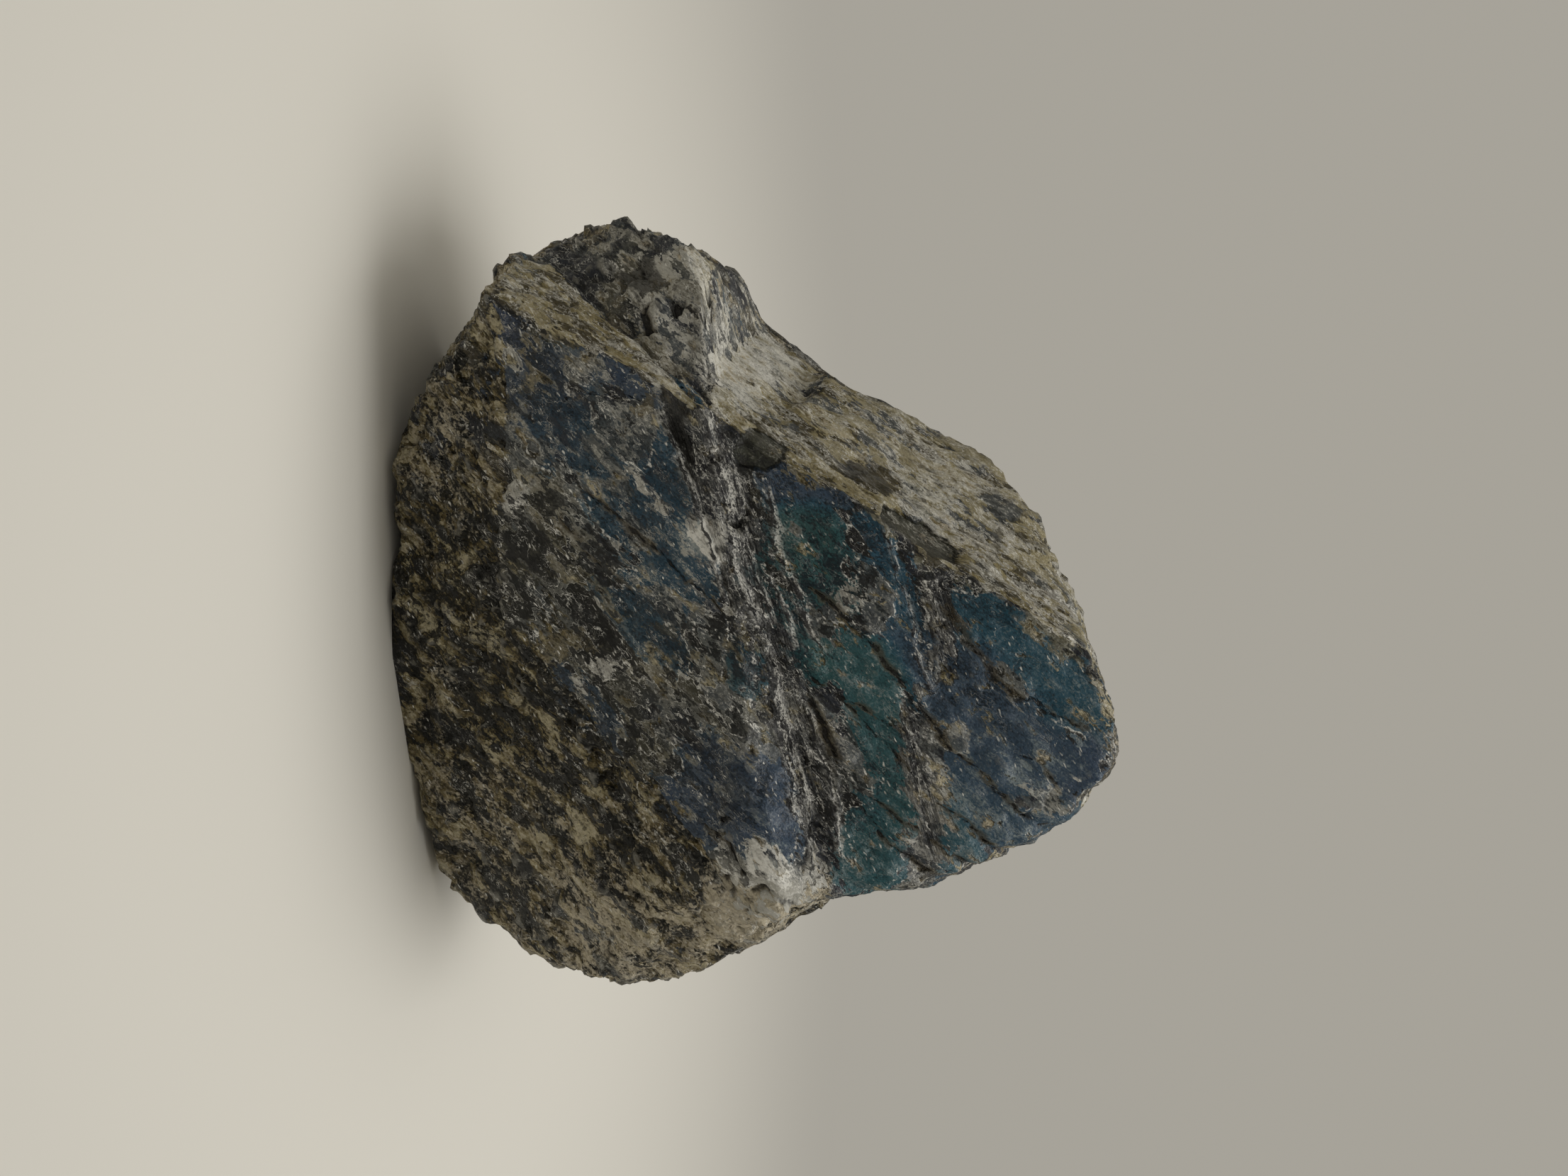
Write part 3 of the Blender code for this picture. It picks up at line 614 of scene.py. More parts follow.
groove = np.zeros(len(base_points))
steps = np.zeros(len(base_points))
crack_gap = np.full(len(base_points), 9.0)
for name, (half_width, depth, rise) in CRACKS.items():
    gap, share, side = to_line(marks[name])
    ends = ramp(share, 0.0, 0.12) * ramp(1 - share, 0.0, 0.12)
    ends = np.where(gap < 0.1, 1, ends)
    groove = np.maximum(groove, 0.3 * depth * ends * np.exp(-(gap / (half_width + 0.2)) ** 2))
    steps += rise * ends * side * np.exp(-gap / STEP_FALL) * np.minimum(gap / 0.4, 1)
    crack_gap = np.minimum(crack_gap, gap - half_width * ends + (1 - ends))
bruise = np.zeros(len(base_points))
edge = np.full(len(base_points), 4.0)
edge_gap = np.full(len(base_points), 4.0)
for name, rise in BREAKS.items():
    gap, share, side = to_line(marks[name])
    ends = ramp(share, 0.0, 0.1) * ramp(1 - share, 0.0, 0.1)
    steps -= rise * ends * side * np.exp(-gap / STEP_FALL) * np.minimum(gap / 0.4, 1)
    bruise = np.maximum(bruise, ends * np.exp(-(gap / 0.55) ** 2))
    signed = side * (gap + 2 * (1 - ends))
    edge = np.where(np.abs(signed) < np.abs(edge), signed, edge)
    edge_gap = np.minimum(edge_gap, np.abs(signed))
print(len(CRACKS), "cracks and", len(BREAKS), "breaks")

# %% [markdown]
# ## Sheets, fibres and grains
# Between the cracks each kind of break has its own ground. Cleaved faces are flights of thin
# sheets. Fibrous walls are combed with ridges. Granular faces are a crumble of grains two or three
# millimetres across, and the rough ones are chipped. All four are heights in millimetres.

# %% Heights of the ground
def sheets(length, width, seed, fray):
    """Cells drawn out along the cleavage. Each has its own level, chance - 1/2, and leans a little:
    the way from its middle times two small slopes."""
    places = crystal(base_points) / np.array([length, width, 1.3 * width])
    places += fray * np.stack([smooth_noise(places, 0.45, seed + k) for k in (5, 6, 7)], axis=1)
    _, owner, away = broken_cells(places, seed)
    slope = away[:, 0] * np.sin(owner * 61) + away[:, 1] * np.sin(owner * 137)
    return owner - 0.5 + 0.7 * slope


def terraces(length, width, seed, count):
    """Layered noise drawn out along the cleavage and cut into level floors: the whole part of count
    times the noise, with each riser as steep as the mesh allows. The borders are ragged, as the
    edges of split sheets are."""
    places = crystal(base_points) / np.array([length, width, 1.4 * width])
    rise = count * layered(places, 1.0, seed, 4, 0.55)
    return (np.floor(rise) + ramp(rise - np.floor(rise), 0.88, 1.0)) / count


wide_sheets = sheets(13, 5, 101, 0.35)
small_sheets = sheets(5, 2.1, 131, 0.30)
wide_steps = terraces(15, 6, 401, 5)
small_steps = terraces(5, 2.2, 431, 4)
cleaved_height = (0.16 * wide_sheets + 0.14 * small_sheets + 0.45 * wide_steps + 0.32 * small_steps
                  + 0.06 * layered(base_points, 2.0, 61))

combed = drawn_out(base_points, FIBRE, 12, 1.5)
fine_combed = drawn_out(base_points, FIBRE, 8, 0.8)
ridges = 1 - np.abs(layered(combed, 1.0, 71, 2))
fibrous_height = (0.40 * ridges - 0.2 + 0.22 * smooth_noise(fine_combed, 1.0, 75)
                  + 0.2 * wide_sheets + 0.2 * small_sheets + 0.45 * wide_steps + 0.35 * small_steps)

crumble = base_points + 0.5 * np.stack([smooth_noise(base_points, 1.3, k) for k in (81, 82, 83)], 1)
grain_border, grain_owner, _ = broken_cells(crumble / 2.4, 201)
_, fine_owner, _ = broken_cells(crumble / 1.3, 231)
_, clod_owner, clod_way = broken_cells(crystal(crumble) / np.array([6.5, 4.0, 4.5]), 271)
granular_height = (0.45 * (grain_owner - 0.5) + 0.30 * np.sqrt(np.clip(grain_border, 0, 1))
                   + 0.25 * (fine_owner - 0.5) + 0.8 * (clod_owner - 0.5)
                   + 0.8 * clod_way[:, 0] * np.sin(clod_owner * 77) + 0.5 * small_steps
                   + 0.3 * layered(base_points, 5.5, 85, 3) - 0.5)

_, chip_owner, chip_way = broken_cells(crystal(crumble) / np.array([5.5, 3.2, 3.6]), 251)
rough_height = (0.8 * (chip_owner - 0.5) + 0.8 * chip_way[:, 0] * np.sin(chip_owner * 91)
                + 0.25 * small_sheets + 0.5 * small_steps + 0.35 * layered(base_points, 3.0, 87, 3))
print("heights of about", [round(float(h.std()), 2) for h in
                           (cleaved_height, fibrous_height, granular_height, rough_height)], "mm")

# %% Chipped edges
def crease_gap(directions):
    """How far behind the skin the next plane of the same lump is, in mm: small near sharp edges."""
    best, gap = np.zeros(len(directions)), np.zeros(len(directions))
    for planes in LUMPS.values():
        numbers = np.array(list(planes.values()), float)
        cosine = np.maximum(directions @ bearing(numbers[:, 0], numbers[:, 1]).T, 1e-3)
        two = np.partition(numbers[:, 2] / cosine, 1, axis=1)[:, :2]
        further = two[:, 0] > best
        best, gap = np.where(further, two[:, 0], best), np.where(further, two[:, 1] - two[:, 0], gap)
    return gap


near_edge = np.exp(-crease_gap(directions) / 1.0)
chips = near_edge * (0.15 + 0.8 * ramp(layered(base_points, 4.0, 501, 3), -0.1, 0.7))
print("edges chipped by up to", round(float(chips.max()), 2), "mm")

# %% The scalloped rim, the slot, the hole and the pits
# The rim is notched where the cracks reach it, and at a few more places, in mm across the cleavage.
NOTCHED_BY = "crown_crack long_crack rim_crack_top rim_crack_middle rim_crack_low".split()
MORE_NOTCHES = [-75, -66, -49, -17.4, -9]
crack_ends = np.insert([marks[name][-1] for name in NOTCHED_BY], 1, 0, axis=1)
notches = np.sort(np.append(crystal(crack_ends)[:, 1], MORE_NOTCHES))
print("rim notched at", notches.round(1))
RIM_FACES = "slab/right_bevel slab/right_shoulder slab/right_cheek slab/right_side slab/right_crown"
rim_listed = np.array([face in RIM_FACES.split() for face in FACE_NAMES])
rim = soften(rim_listed[face_of_point].astype(float), 4)
across = crystal(base_points)[:, 1] + 0.5 * smooth_noise(base_points, 5.0, 91)
turn = np.interp(across, notches, np.arange(len(notches)))
scallop = 1.5 * (np.abs(np.sin(np.pi * turn)) ** 0.6 - 0.75)

# Half-split plates that stand a little above the front.
PLATES = ("left_plate square_plate white_flake front_plate slab_plate small_plate corner_plate "
          "chin_flake pale_lump low_plate").split()
slot = within(marks["slot"])
concave = within(marks["concave"])
block = within(marks["block"])
# Pits: the point (right, down) in the picture, then the radius and the depth in mm.
PITS = dict(
    ledge_pit=(735, 1170, 0.9, 1.8), ledge_pinhole=(721, 1159, 0.5, 1.0),
    shoulder_pit=(388, 1349, 1.1, 1.8), shoulder_pit_low=(388, 1369, 0.9, 1.5),
    shoulder_pinhole=(411, 1328, 0.8, 1.2), hole_pit=(460, 1296, 1.0, 1.6),
    block_pit=(1161, 1189, 1.0, 1.6), bulge_pit=(1282, 1309, 1.3, 1.6),
    grain_pit=(1020, 1406, 1.2, 1.2), grain_pit_low=(927, 1549, 1.6, 1.3),
    chin_pit=(877, 1601, 1.4, 1.4), grain_pit_right=(1101, 1358, 1.2, 1.3),
)
pit = np.zeros(len(base_points))
for right, down, radius, depth in PITS.values():
    away = np.linalg.norm(seen - seen_at([(right, down)]), axis=1) / radius
    pit = np.maximum(pit, depth * np.exp(-away ** 3))

# Broad swellings and hollows that the planes leave out: x, y, z, radius and height in mm.
SWELLINGS = dict(
    crown_corner=(-17.5, -4, 91, 8, 3.4), crown_side=(-22, -2, 86, 5, 1.2),
    shoulder_side=(-52, -8, 33, 7, -2.2), shoulder_foot=(-47, -10, 24, 6, -1.0),
    beside_bulge=(43, -6, 60, 6, -1.6), above_bulge=(40, -8, 66, 4, -0.8),
    left_wall=(-30, -6, 60, 7, -1.0),
)
swelling = np.zeros(len(base_points))
for x, y, z, radius, high in SWELLINGS.values():
    away = np.linalg.norm(base_points - (x, y, z), axis=1) / radius
    swelling += high * np.exp(-away ** 2)

# %% Put the relief on the stone
smooth_spot = front * np.maximum(ramp(slot, -0.3, 0.6), ramp(concave, -0.5, 1.0))
relief = sum(kind[name] * height for name, height in
             (("cleaved", cleaved_height), ("fibrous", fibrous_height),
              ("granular", granular_height), ("rough", rough_height)))
relief = relief * (1 - 0.85 * smooth_spot) + rim * scallop * 0.55 - chips
relief += front * (steps - groove - pit) + swelling
plates = np.full(len(base_points), -9.0)
for name in PLATES:
    plates = np.maximum(plates, within(marks[name]))
relief += front * 0.38 * ramp(plates, -0.1, 0.5)
relief += front * (0.9 * ramp(block, -0.3, 0.7) - 1.3 * ramp(slot, -0.4, 0.7)
                   - 0.9 * ramp(concave, -1, 2))
relief *= calm
stone_points = HEART + directions * (reach + relief / lean)[:, None]
stone_points[:, 2] = np.maximum(stone_points[:, 2], BASE_CUT) - BASE_CUT
# The stone rests on high spots: between them its broken edge stays clear of the floor.
FOOT_GAP, FOOT_FADE = 2.6, 2.5          # mm of clearance, and mm above the floor where it ends
gaps = np.clip(layered(base_points, 9.0, 95, 4) - 0.02, 0, 0.6)
stone_points[:, 2] += FOOT_GAP * gaps * np.exp(-stone_points[:, 2] / FOOT_FADE)
print("relief from", round(float(relief.min()), 2), "to", round(float(relief.max()), 2), "mm")

# %% [markdown]
# ## Where each finish lies
# Labradorite shows its blue only where a clean sheet of crystal faces the right way. Patches of it
# lie between hazy grey films, tan mineral skins and white bruises. Each patch of the front is one of
# the marked outlines, and its colour goes from violet blue (0) through blue (0.4) to green (1). Away
# from the front the same fields come from layered noise, drawn out along the cleavage.

# %% Which outline is what
FLASH = dict(
    crown_sheet=0.42, upper_sheet=0.18, left_sheet=0.34, crown_tip=0.10, rim_sheet=0.22,
    small_sheet=0.20, rim_scale=0.55, teal_band=0.85, teal_right=0.80, teal_left=0.95, teal_spot=0.95,
    teal_low=0.90, left_tip=0.12, front_sheet=0.30, triangle_sheet=0.25, low_sheet=0.12,
    middle_sheet=0.30, teal_chip=0.60, right_sheet=0.12, foot_sheet=0.00, foot_strip=0.10,
    left_strip=0.10, grain_sheet=0.15,
)
# Grey films of half-split crystal, pale flakes and bruised streaks (the one on the ledge partly a painted
# highlight), tan skins, and painted shade: near-black in hollows and under a flake's edge, where shade
# falls.
FILMS = ("left_plate square_plate long_film crown_film rim_film teal_film inner_film spot_film "
         "front_plate slab_plate small_plate corner_plate low_film").split()
PALES = ("white_flake white_chip wall_streak white_band chin_flake pale_lump pale_spots pale_block "
         "bulge_chip plate_chip front_chip front_speck").split()
TANS = "wall_band foot_band ledge_skin chin_skin gap_skin grain_skin".split()
SHADED_HOLLOWS = "flake_hollow wall_hollow front_hollow shoulder_hollow gap_hollow block_hollow".split()
# Where thin layers run almost level: the ledge, the shoulder's top and two breaks of the blue face.
LAYERED = "ledge_layers shoulder_layers upper_layers right_layers".split()
FRONT_LIMIT = 4.0         # a patch's distance is kept between this and its negative, in mm


def widest(names):
    """The signed distance to a set of outlines: the largest of their own."""
    result = np.full(len(seen), -FRONT_LIMIT)
    for name in names:
        result = np.maximum(result, within(marks[name]))
    return np.minimum(result, FRONT_LIMIT)


wild = crystal(base_points) / np.array([2.2, 1.0, 1.4])
far_flash = 4 * layered(wild, 6.0, 301, 3) * (0.3 + 0.7 * kind["cleaved"]) - 1.7
far_film = 5 * layered(wild, 5.0, 311, 3) - 1.6
far_pale = 5 * layered(wild, 3.6, 321, 3) - 3.0
far_tan = 5 * layered(base_points, 7.0, 331, 3) - 1.6 + 2.0 * kind["fibrous"]
on_front = ramp(front, 0.2, 0.6)

flash = on_front * widest(FLASH) + (1 - on_front) * far_flash
upper = ramp(base_points[:, 2], 50, 60) * on_front * kind["cleaved"]
film = np.maximum(on_front * widest(FILMS), far_film - (1.4 + 2.6 * upper) * on_front)
pale = np.maximum(on_front * widest(PALES) - 3 * (1 - on_front),
                  far_pale - (1.6 + 1.5 * upper) * on_front)
tan = np.maximum(on_front * widest(TANS) - 3 * (1 - on_front),
                 far_tan - (3.2 + 2.4 * upper) * on_front * kind["cleaved"])
hollow = np.maximum(on_front * widest(SHADED_HOLLOWS) - 3 * (1 - on_front), -3)

hue, weight = np.full(len(base_points), 0.3 * 0.01), np.full(len(base_points), 0.01)
for name, colour in FLASH.items():
    share = np.exp(np.clip(within(marks[name]), -6, 1)) * on_front
    hue, weight = hue + share * colour, weight + share
hue /= weight
proud = relief - soften(relief, 8)
proud /= proud.std()
# Spots of the front that are lighter or darker, and warmer or cooler: x, z and radius in mm,
# lighter, warmer.
# Some spots are painted light and shade: the up-facing shoulder top, the bulge and the right rim are
# lighter where light falls on them, and the chin and low front darker where they face down; the rest is the
# stone's own tone.
TONES = [
    (-40, 48, 8, 0.19, -0.4), (-32, 51, 5, 0.15, -0.2), (44, 57, 7, 0.66, 0.7), (36, 59, 5, 0.10, 0.2),
    (46, 40, 8, 0.12, 1.0), (50, 30, 8, 0.14, 1.2), (30, 36, 8, -0.04, 0.6), (22, 28, 10, -0.08, 0.8),
    (10, 14, 12, -0.07, 1.0), (36, 12, 9, 0.03, 0.9), (-6, 9, 10, -0.08, 1.2), (0, 26, 12, -0.13, 1.0),
    (-12, 40, 9, 0.03, -0.6), (-24, 38, 8, 0.00, -0.7), (12, 46, 10, -0.02, 0.0), (26, 52, 8, -0.05, -0.9),
    (32, 60, 6, -0.02, -0.3), (-22, 76, 9, 0.05, 0.3), (-16, 84, 7, 0.06, 0.5), (-28, 66, 7, 0.02, 0.6),
    (-47, 38, 7, 0.12, 0.0), (-40, 30, 8, -0.08, 0.4), (-30, 26, 7, -0.08, 0.3), (-20, 10, 8, 0.05, 0.5),
    (12, 86, 9, -0.06, -0.5), (8, 96, 7, 0.02, -0.3), (28, 92, 8, 0.08, -0.3), (-8, 62, 9, -0.05, -0.2),
    (4, 57, 8, -0.16, 0.0), (-20, 52, 7, -0.08, -0.2), (20, 72, 9, -0.03, -0.3), (30, 79, 6, 0.10, -0.2),
    (-12, 68, 8, -0.05, -0.3), (-8, 50.5, 2.8, 0.60, 0.0),
]
lighter = 0.05 * layered(base_points, 14.0, 341, 2)
warmer = 0.4 * layered(base_points, 18.0, 351, 2)
calm_front = soften(on_front, 40)
for x, z, radius, light, warm in TONES:
    share = calm_front * np.exp(-((seen[:, 0] - x) ** 2 + (seen[:, 1] - z) ** 2) / radius ** 2)
    lighter, warmer = lighter + share * light, warmer + share * warm

# Away from the front the kinds of break wander into one another.
wander = (1 - on_front) * 0.9 * layered(base_points, 12.0, 361, 4)
far_share = 0.6 * (1 - on_front)
painted = {name: (1 - far_share) * kind[name] + far_share * soften(kind[name], 16) + wander * sign
           for name, sign in (("granular", 1), ("fibrous", -1))}

layer_band = on_front * widest(LAYERED)

fields_of_stone = dict(
    layers=layer_band, clear=np.maximum(upper, 1 - on_front), lighter=lighter,
    warmer=np.clip(warmer, -1, 1), flash=flash, hue=hue, film=film, pale=pale, tan=tan, hollow=hollow,
    crack=np.minimum(crack_gap, 4), bruise=np.clip(bruise, 0, 1) * on_front,
    grain=painted["granular"], fibre=painted["fibrous"], edge=edge,
    edge_gap=np.where(on_front > 0.5, edge_gap, 4.0),
    plate=np.where(on_front > 0.5, np.clip(plates, -4, 4), -4), smooth=smooth_spot,
    proud=np.clip(proud, -3, 3))
print(len(fields_of_stone), "fields to paint with")

# %% Make the mesh
MM = 0.001
corners = np.stack([number[:, :-1, :-1], number[:, 1:, :-1], number[:, 1:, 1:], number[:, :-1, 1:]], -1)
cells_of_mesh = corners.reshape(-1, 4)
four = stone_points[cells_of_mesh]
facing = np.sum(np.cross(four[:, 2] - four[:, 0], four[:, 3] - four[:, 1])
                * (four.mean(axis=1) - HEART), axis=1)
if facing.sum() < 0:
    cells_of_mesh = cells_of_mesh[:, ::-1]
stone_mesh = bpy.data.meshes.new("labradorite_chunk")
stone_mesh.from_pydata((stone_points * MM).tolist(), [], cells_of_mesh.tolist())
stone_mesh.polygons.foreach_set("use_smooth", np.ones(len(cells_of_mesh), bool))
stone_mesh.update()
stone = bpy.data.objects.new("rough_labradorite", stone_mesh)
bpy.context.scene.collection.objects.link(stone)
print("the stone has", 2 * len(cells_of_mesh), "triangles")
for name, values in fields_of_stone.items():
    stone_mesh.attributes.new(name, "FLOAT", "POINT").data.foreach_set("value", values.astype(np.float32))

# %% [markdown]
# ## The labradorite's finish
# The colours are mixed in the shader from the painted fields and from patterns at their true size:
# split flakes of a few millimetres, hair-fine lines that are partly bruises and partly painted glints,
# fibres and grains. A field is a distance, so adding a little noise to it before cutting it at zero
# gives a crisp, ragged border, as a flake has, and the narrow band where it is almost zero is the
# flake's pale lip, partly a bruise and partly a painted glint.

# %% Short ways to add nodes
stone_look = bpy.data.materials.new("labradorite")
stone_look.use_nodes = True
tree = stone_look.node_tree
shader = tree.nodes["Principled BSDF"]


def add(node_type, plugs=None, **settings):
    """Adds a node, gives it its settings, and plugs or sets its inputs."""
    made = tree.nodes.new("ShaderNode" + node_type)
    for name, value in settings.items():
        setattr(made, name, value)
    for key, value in (plugs or {}).items():
        if isinstance(value, bpy.types.NodeSocket):
            tree.links.new(value, made.inputs[key])
        else:
            made.inputs[key].default_value = value
    return made


def field(name):
    """A painted field of the stone."""
    return add("Attribute", attribute_name=name).outputs["Fac"]


def math(operation, a, b=0.0, c=0.0):
    """One sum on one or two or three values."""
    return add("Math", {0: a, 1: b, 2: c}, operation=operation).outputs[0]


def cut(value, low, high, bottom=0.0, top=1.0):
    """A smooth rise from bottom at low to top at high."""
    plugs = {"Value": value, "From Min": low, "From Max": high, "To Min": bottom, "To Max": top}
    return add("MapRange", plugs, interpolation_type="SMOOTHSTEP").outputs[0]


def blend(share, under, over):
    """Mixes two colours by a share."""
    return add("Mix", {0: share, 6: under, 7: over}, data_type="RGBA").outputs[2]


def ramp_of(value, *stops):
    """A colour ramp through (position, (red, green, blue)) stops."""
    made = add("ValToRGB", {0: value})
    while len(made.color_ramp.elements) < len(stops):
        made.color_ramp.elements.new(0.5)
    for element, (position, tint) in zip(made.color_ramp.elements, stops):
        element.position = position
        element.color = (*tint, 1)
    return made.outputs[0]


def space(length, width, depth, turn_to=None):
    """Object coordinates measured in cells of this size in mm, along the cleavage or along a line."""
    turned = turn_to or (0, -CLEAVAGE, 0)
    scale = tuple(MM * size for size in (length, depth, width))
    plugs = {"Vector": place_on_stone, "Rotation": turned, "Scale": scale}
    return add("Mapping", plugs, vector_type="TEXTURE").outputs[0]


def noise(vector, detail=4.0, roughness=0.6):
    """Layered noise from 0 to 1, with one cell to a unit."""
    plugs = {"Vector": vector, "Scale": 1.0, "Detail": detail, "Roughness": roughness}
    return add("TexNoise", plugs)


def shaken(vector, amount):
    """The coordinates pushed about by noise, so that a pattern's borders fray."""
    push = noise(vector, 1, 0.6).outputs["Color"]
    centred = add("VectorMath", {0: push, 1: (0.5, 0.5, 0.5)}, operation="SUBTRACT").outputs[0]
    plugs = {0: centred, 1: (amount,) * 3, 2: vector}
    return add("VectorMath", plugs, operation="MULTIPLY_ADD").outputs[0]


def grains(vector):
    """Grains: two chances for each, and its lean in height."""
    cell = add("TexVoronoi", {"Vector": vector, "Scale": 1.0})
    picks = add("SeparateColor", {0: cell.outputs["Color"]})
    away = add("VectorMath", {0: vector, 1: cell.outputs["Position"]}, operation="SUBTRACT")
    tilt = add("VectorMath", {0: cell.outputs["Color"], 1: (0.5, 0.5, 0.5)}, operation="SUBTRACT")
    lean = add("VectorMath", {0: away.outputs[0], 1: tilt.outputs[0]}, operation="DOT_PRODUCT")
    return picks.outputs[0], picks.outputs[1], lean.outputs["Value"]


def split_sheets(vector, floors, detail, roughness, width, other=0.5):
    """Noise cut into level floors. Returns the height of each floor, its chance, the pale lip above
    each riser, and the noise itself. A second pattern cut into floors as well gives every floor
    other chances from place to place."""
    swell = noise(vector, detail, roughness).outputs[0]
    rise = math("MULTIPLY", swell, floors)
    floor_number = math("FLOOR", rise)
    place_number = math("MULTIPLY_ADD", math("FLOOR", math("MULTIPLY", other, 9)), 17.3, floor_number)
    lot = math("MULTIPLY", place_number, 3.7)
    pick = add("TexWhiteNoise", {"W": lot}, noise_dimensions="1D").outputs[0]
    lip = cut(math("FRACT", rise), 0.0, width, 1.0, 0.0)
    return math("DIVIDE", floor_number, floors), pick, lip, swell


place_on_stone = add("TexCoord").outputs["Object"]

# %% Patterns at their true size
fibre_turn = tuple(Vector((1, 0, 0)).rotation_difference(Vector(FIBRE)).to_euler())
mottle = noise(space(8, 3, 4), 5, 0.66).outputs[0]
cloud = noise(space(18, 10, 12), 2, 0.5).outputs[0]
ragged = noise(space(1.7, 0.8, 1.0), 3, 0.7).outputs[0]
fine = noise(space(0.45, 0.3, 0.35), 1, 0.7).outputs[0]
big_floor, big_pick, big_lip, big_swell = split_sheets(space(12, 5, 6), 7, 5, 0.55, 0.07, mottle)
small_floor, small_pick, small_lip, small_swell = split_sheets(
    space(4.5, 2.0, 2.4), 6, 4, 0.58, 0.10, big_swell)
combed = noise(space(6, 1.3, 1.3, fibre_turn), 4, 0.68).outputs[0]
hair = noise(space(5, 0.3, 0.3, fibre_turn), 1, 0.6).outputs[0]
grain_noise = noise(space(3.6, 2.6, 3), 4, 0.72).outputs[0]
grain_pick, grain_pick_two, grain_lean = grains(shaken(space(2.6, 1.5, 2.0), 1.0))
crumb_pick, crumb_pick_two, crumb_lean = grains(shaken(space(0.7, 0.5, 0.6), 0.8))
layer_line = noise(space(8, 0.45, 4, (0, -LAYER_RISE, 0)), 3, 0.65).outputs[0]
layer_floor, layer_pick, layer_lip, _ = split_sheets(
    space(11, 1.8, 4, (0, -LAYER_RISE, 0)), 8, 4, 0.60, 0.12, small_swell)
tiny_floor, tiny_pick, tiny_lip, _ = split_sheets(space(1.6, 0.8, 0.9), 5, 2, 0.58, 0.16, small_swell)
wall_floor, wall_pick, wall_lip, _ = split_sheets(
    space(11, 3.6, 3.6, fibre_turn), 7, 5, 0.58, 0.08, mottle)
_, flake_pick_two, flake_lean = grains(shaken(space(3.6, 1.5, 2.0), 0.5))
patchy = noise(space(3, 2.4, 2.6), 3, 0.6).outputs[0]

# %% Crisp patches out of the painted fields
def from_middle(pattern):
    """A pattern from 0 to 1 measured from its middle."""
    return math("SUBTRACT", pattern, 0.5)


big_shift = math("MULTIPLY_ADD", from_middle(big_pick), 0.6, from_middle(big_swell))
small_shift = math("MULTIPLY_ADD", from_middle(small_pick), 0.5, from_middle(small_swell))
ragged_shift = from_middle(ragged)


def ragged_patch(name, big, small, tiny, soft=0.10, shift=0.0):
    """Adds sheet-wise and fine noise, in mm, to a painted distance. Returns the patch, cut at zero,
    and the lip, a narrow band around its border."""
    pushed = math("ADD", field(name), shift)
    for amount, change in ((big, big_shift), (small, small_shift), (tiny, ragged_shift)):
        pushed = math("MULTIPLY_ADD", change, amount, pushed)
    return cut(pushed, -soft, soft), cut(math("ABSOLUTE", pushed), 0.05, 0.26, 1.0, 0.0)


flash_patch, flash_lip = ragged_patch("flash", 3.4, 2.2, 1.0, 0.08, 2.1)
film_patch, _ = ragged_patch("film", 2.4, 2.0, 1.0, 0.10)
pale_patch, pale_lip = ragged_patch("pale", 1.8, 2.0, 1.6, 0.12, 0.2)
tan_patch, _ = ragged_patch("tan", 3.4, 3.0, 3.0, 0.3)
hollow_shade_patch, _ = ragged_patch("hollow", 1.0, 1.5, 2.0, 0.3)
layer_patch, _ = ragged_patch("layers", 4.0, 3.0, 1.5, 0.2)
broken_up = cut(patchy, 0.43, 0.56)

# %% Helpers for light and dark
def varied(start, *changes):
    """Adds shares of patterns, each measured from its middle, 0.5, to a first one."""
    total = start
    for pattern, amount in changes:
        total = math("MULTIPLY_ADD", from_middle(pattern), amount, total)
    return total


def shaded(base, bright, dark=(0.007, 0.007, 0.006, 1), light=(0.54, 0.53, 0.48, 1)):
    """A colour turned darker where a pattern is below 0.5 and paler where it is above."""
    darker = blend(cut(bright, 0.18, 0.50, 0.93, 0.0), base, dark)
    return blend(cut(bright, 0.50, 0.90, 0.0, 0.85), darker, light)


def largest(*values):
    """The largest of several values."""
    result = values[0]
    for value in values[1:]:
        result = math("MAXIMUM", result, value)
    return result


def product(*values):
    """All values multiplied."""
    result = values[0]
    for value in values[1:]:
        result = math("MULTIPLY", result, value)
    return result


lighter = math("MULTIPLY_ADD", field("lighter"), 1.6, 0.53)
flake_tone = varied(lighter, (small_pick, 0.34), (tiny_pick, 0.16), (fine, 0.50), (mottle, 0.30))
sheet_tone = varied(lighter, (tiny_pick, 0.16), (fine, 0.60), (mottle, 0.36), (small_pick, 0.14))
rare_flake = cut(small_pick, 0.84, 0.86)

# %% The cleaved ground: dark grey stone, blue sheets and hazy films
ground_place = varied(0.5, (big_pick, 0.75), (small_pick, 0.30), (cloud, 0.9), (mottle, 0.8))
cool_ground = ramp_of(ground_place, (0.05, (0.018, 0.022, 0.032)), (0.35, (0.040, 0.048, 0.060)),
                      (0.58, (0.070, 0.080, 0.086)), (0.78, (0.100, 0.106, 0.100)),
                      (0.96, (0.170, 0.174, 0.162)))
warm_ground = ramp_of(ground_place, (0.05, (0.016, 0.016, 0.011)), (0.35, (0.042, 0.040, 0.027)),
                      (0.58, (0.066, 0.061, 0.041)), (0.78, (0.100, 0.092, 0.062)),
                      (0.96, (0.180, 0.168, 0.128)))
warmth = cut(varied(field("warmer"), (cloud, 3.0), (small_pick, 0.4)), -0.3, 0.5)
colour = shaded(blend(warmth, cool_ground, warm_ground), flake_tone)

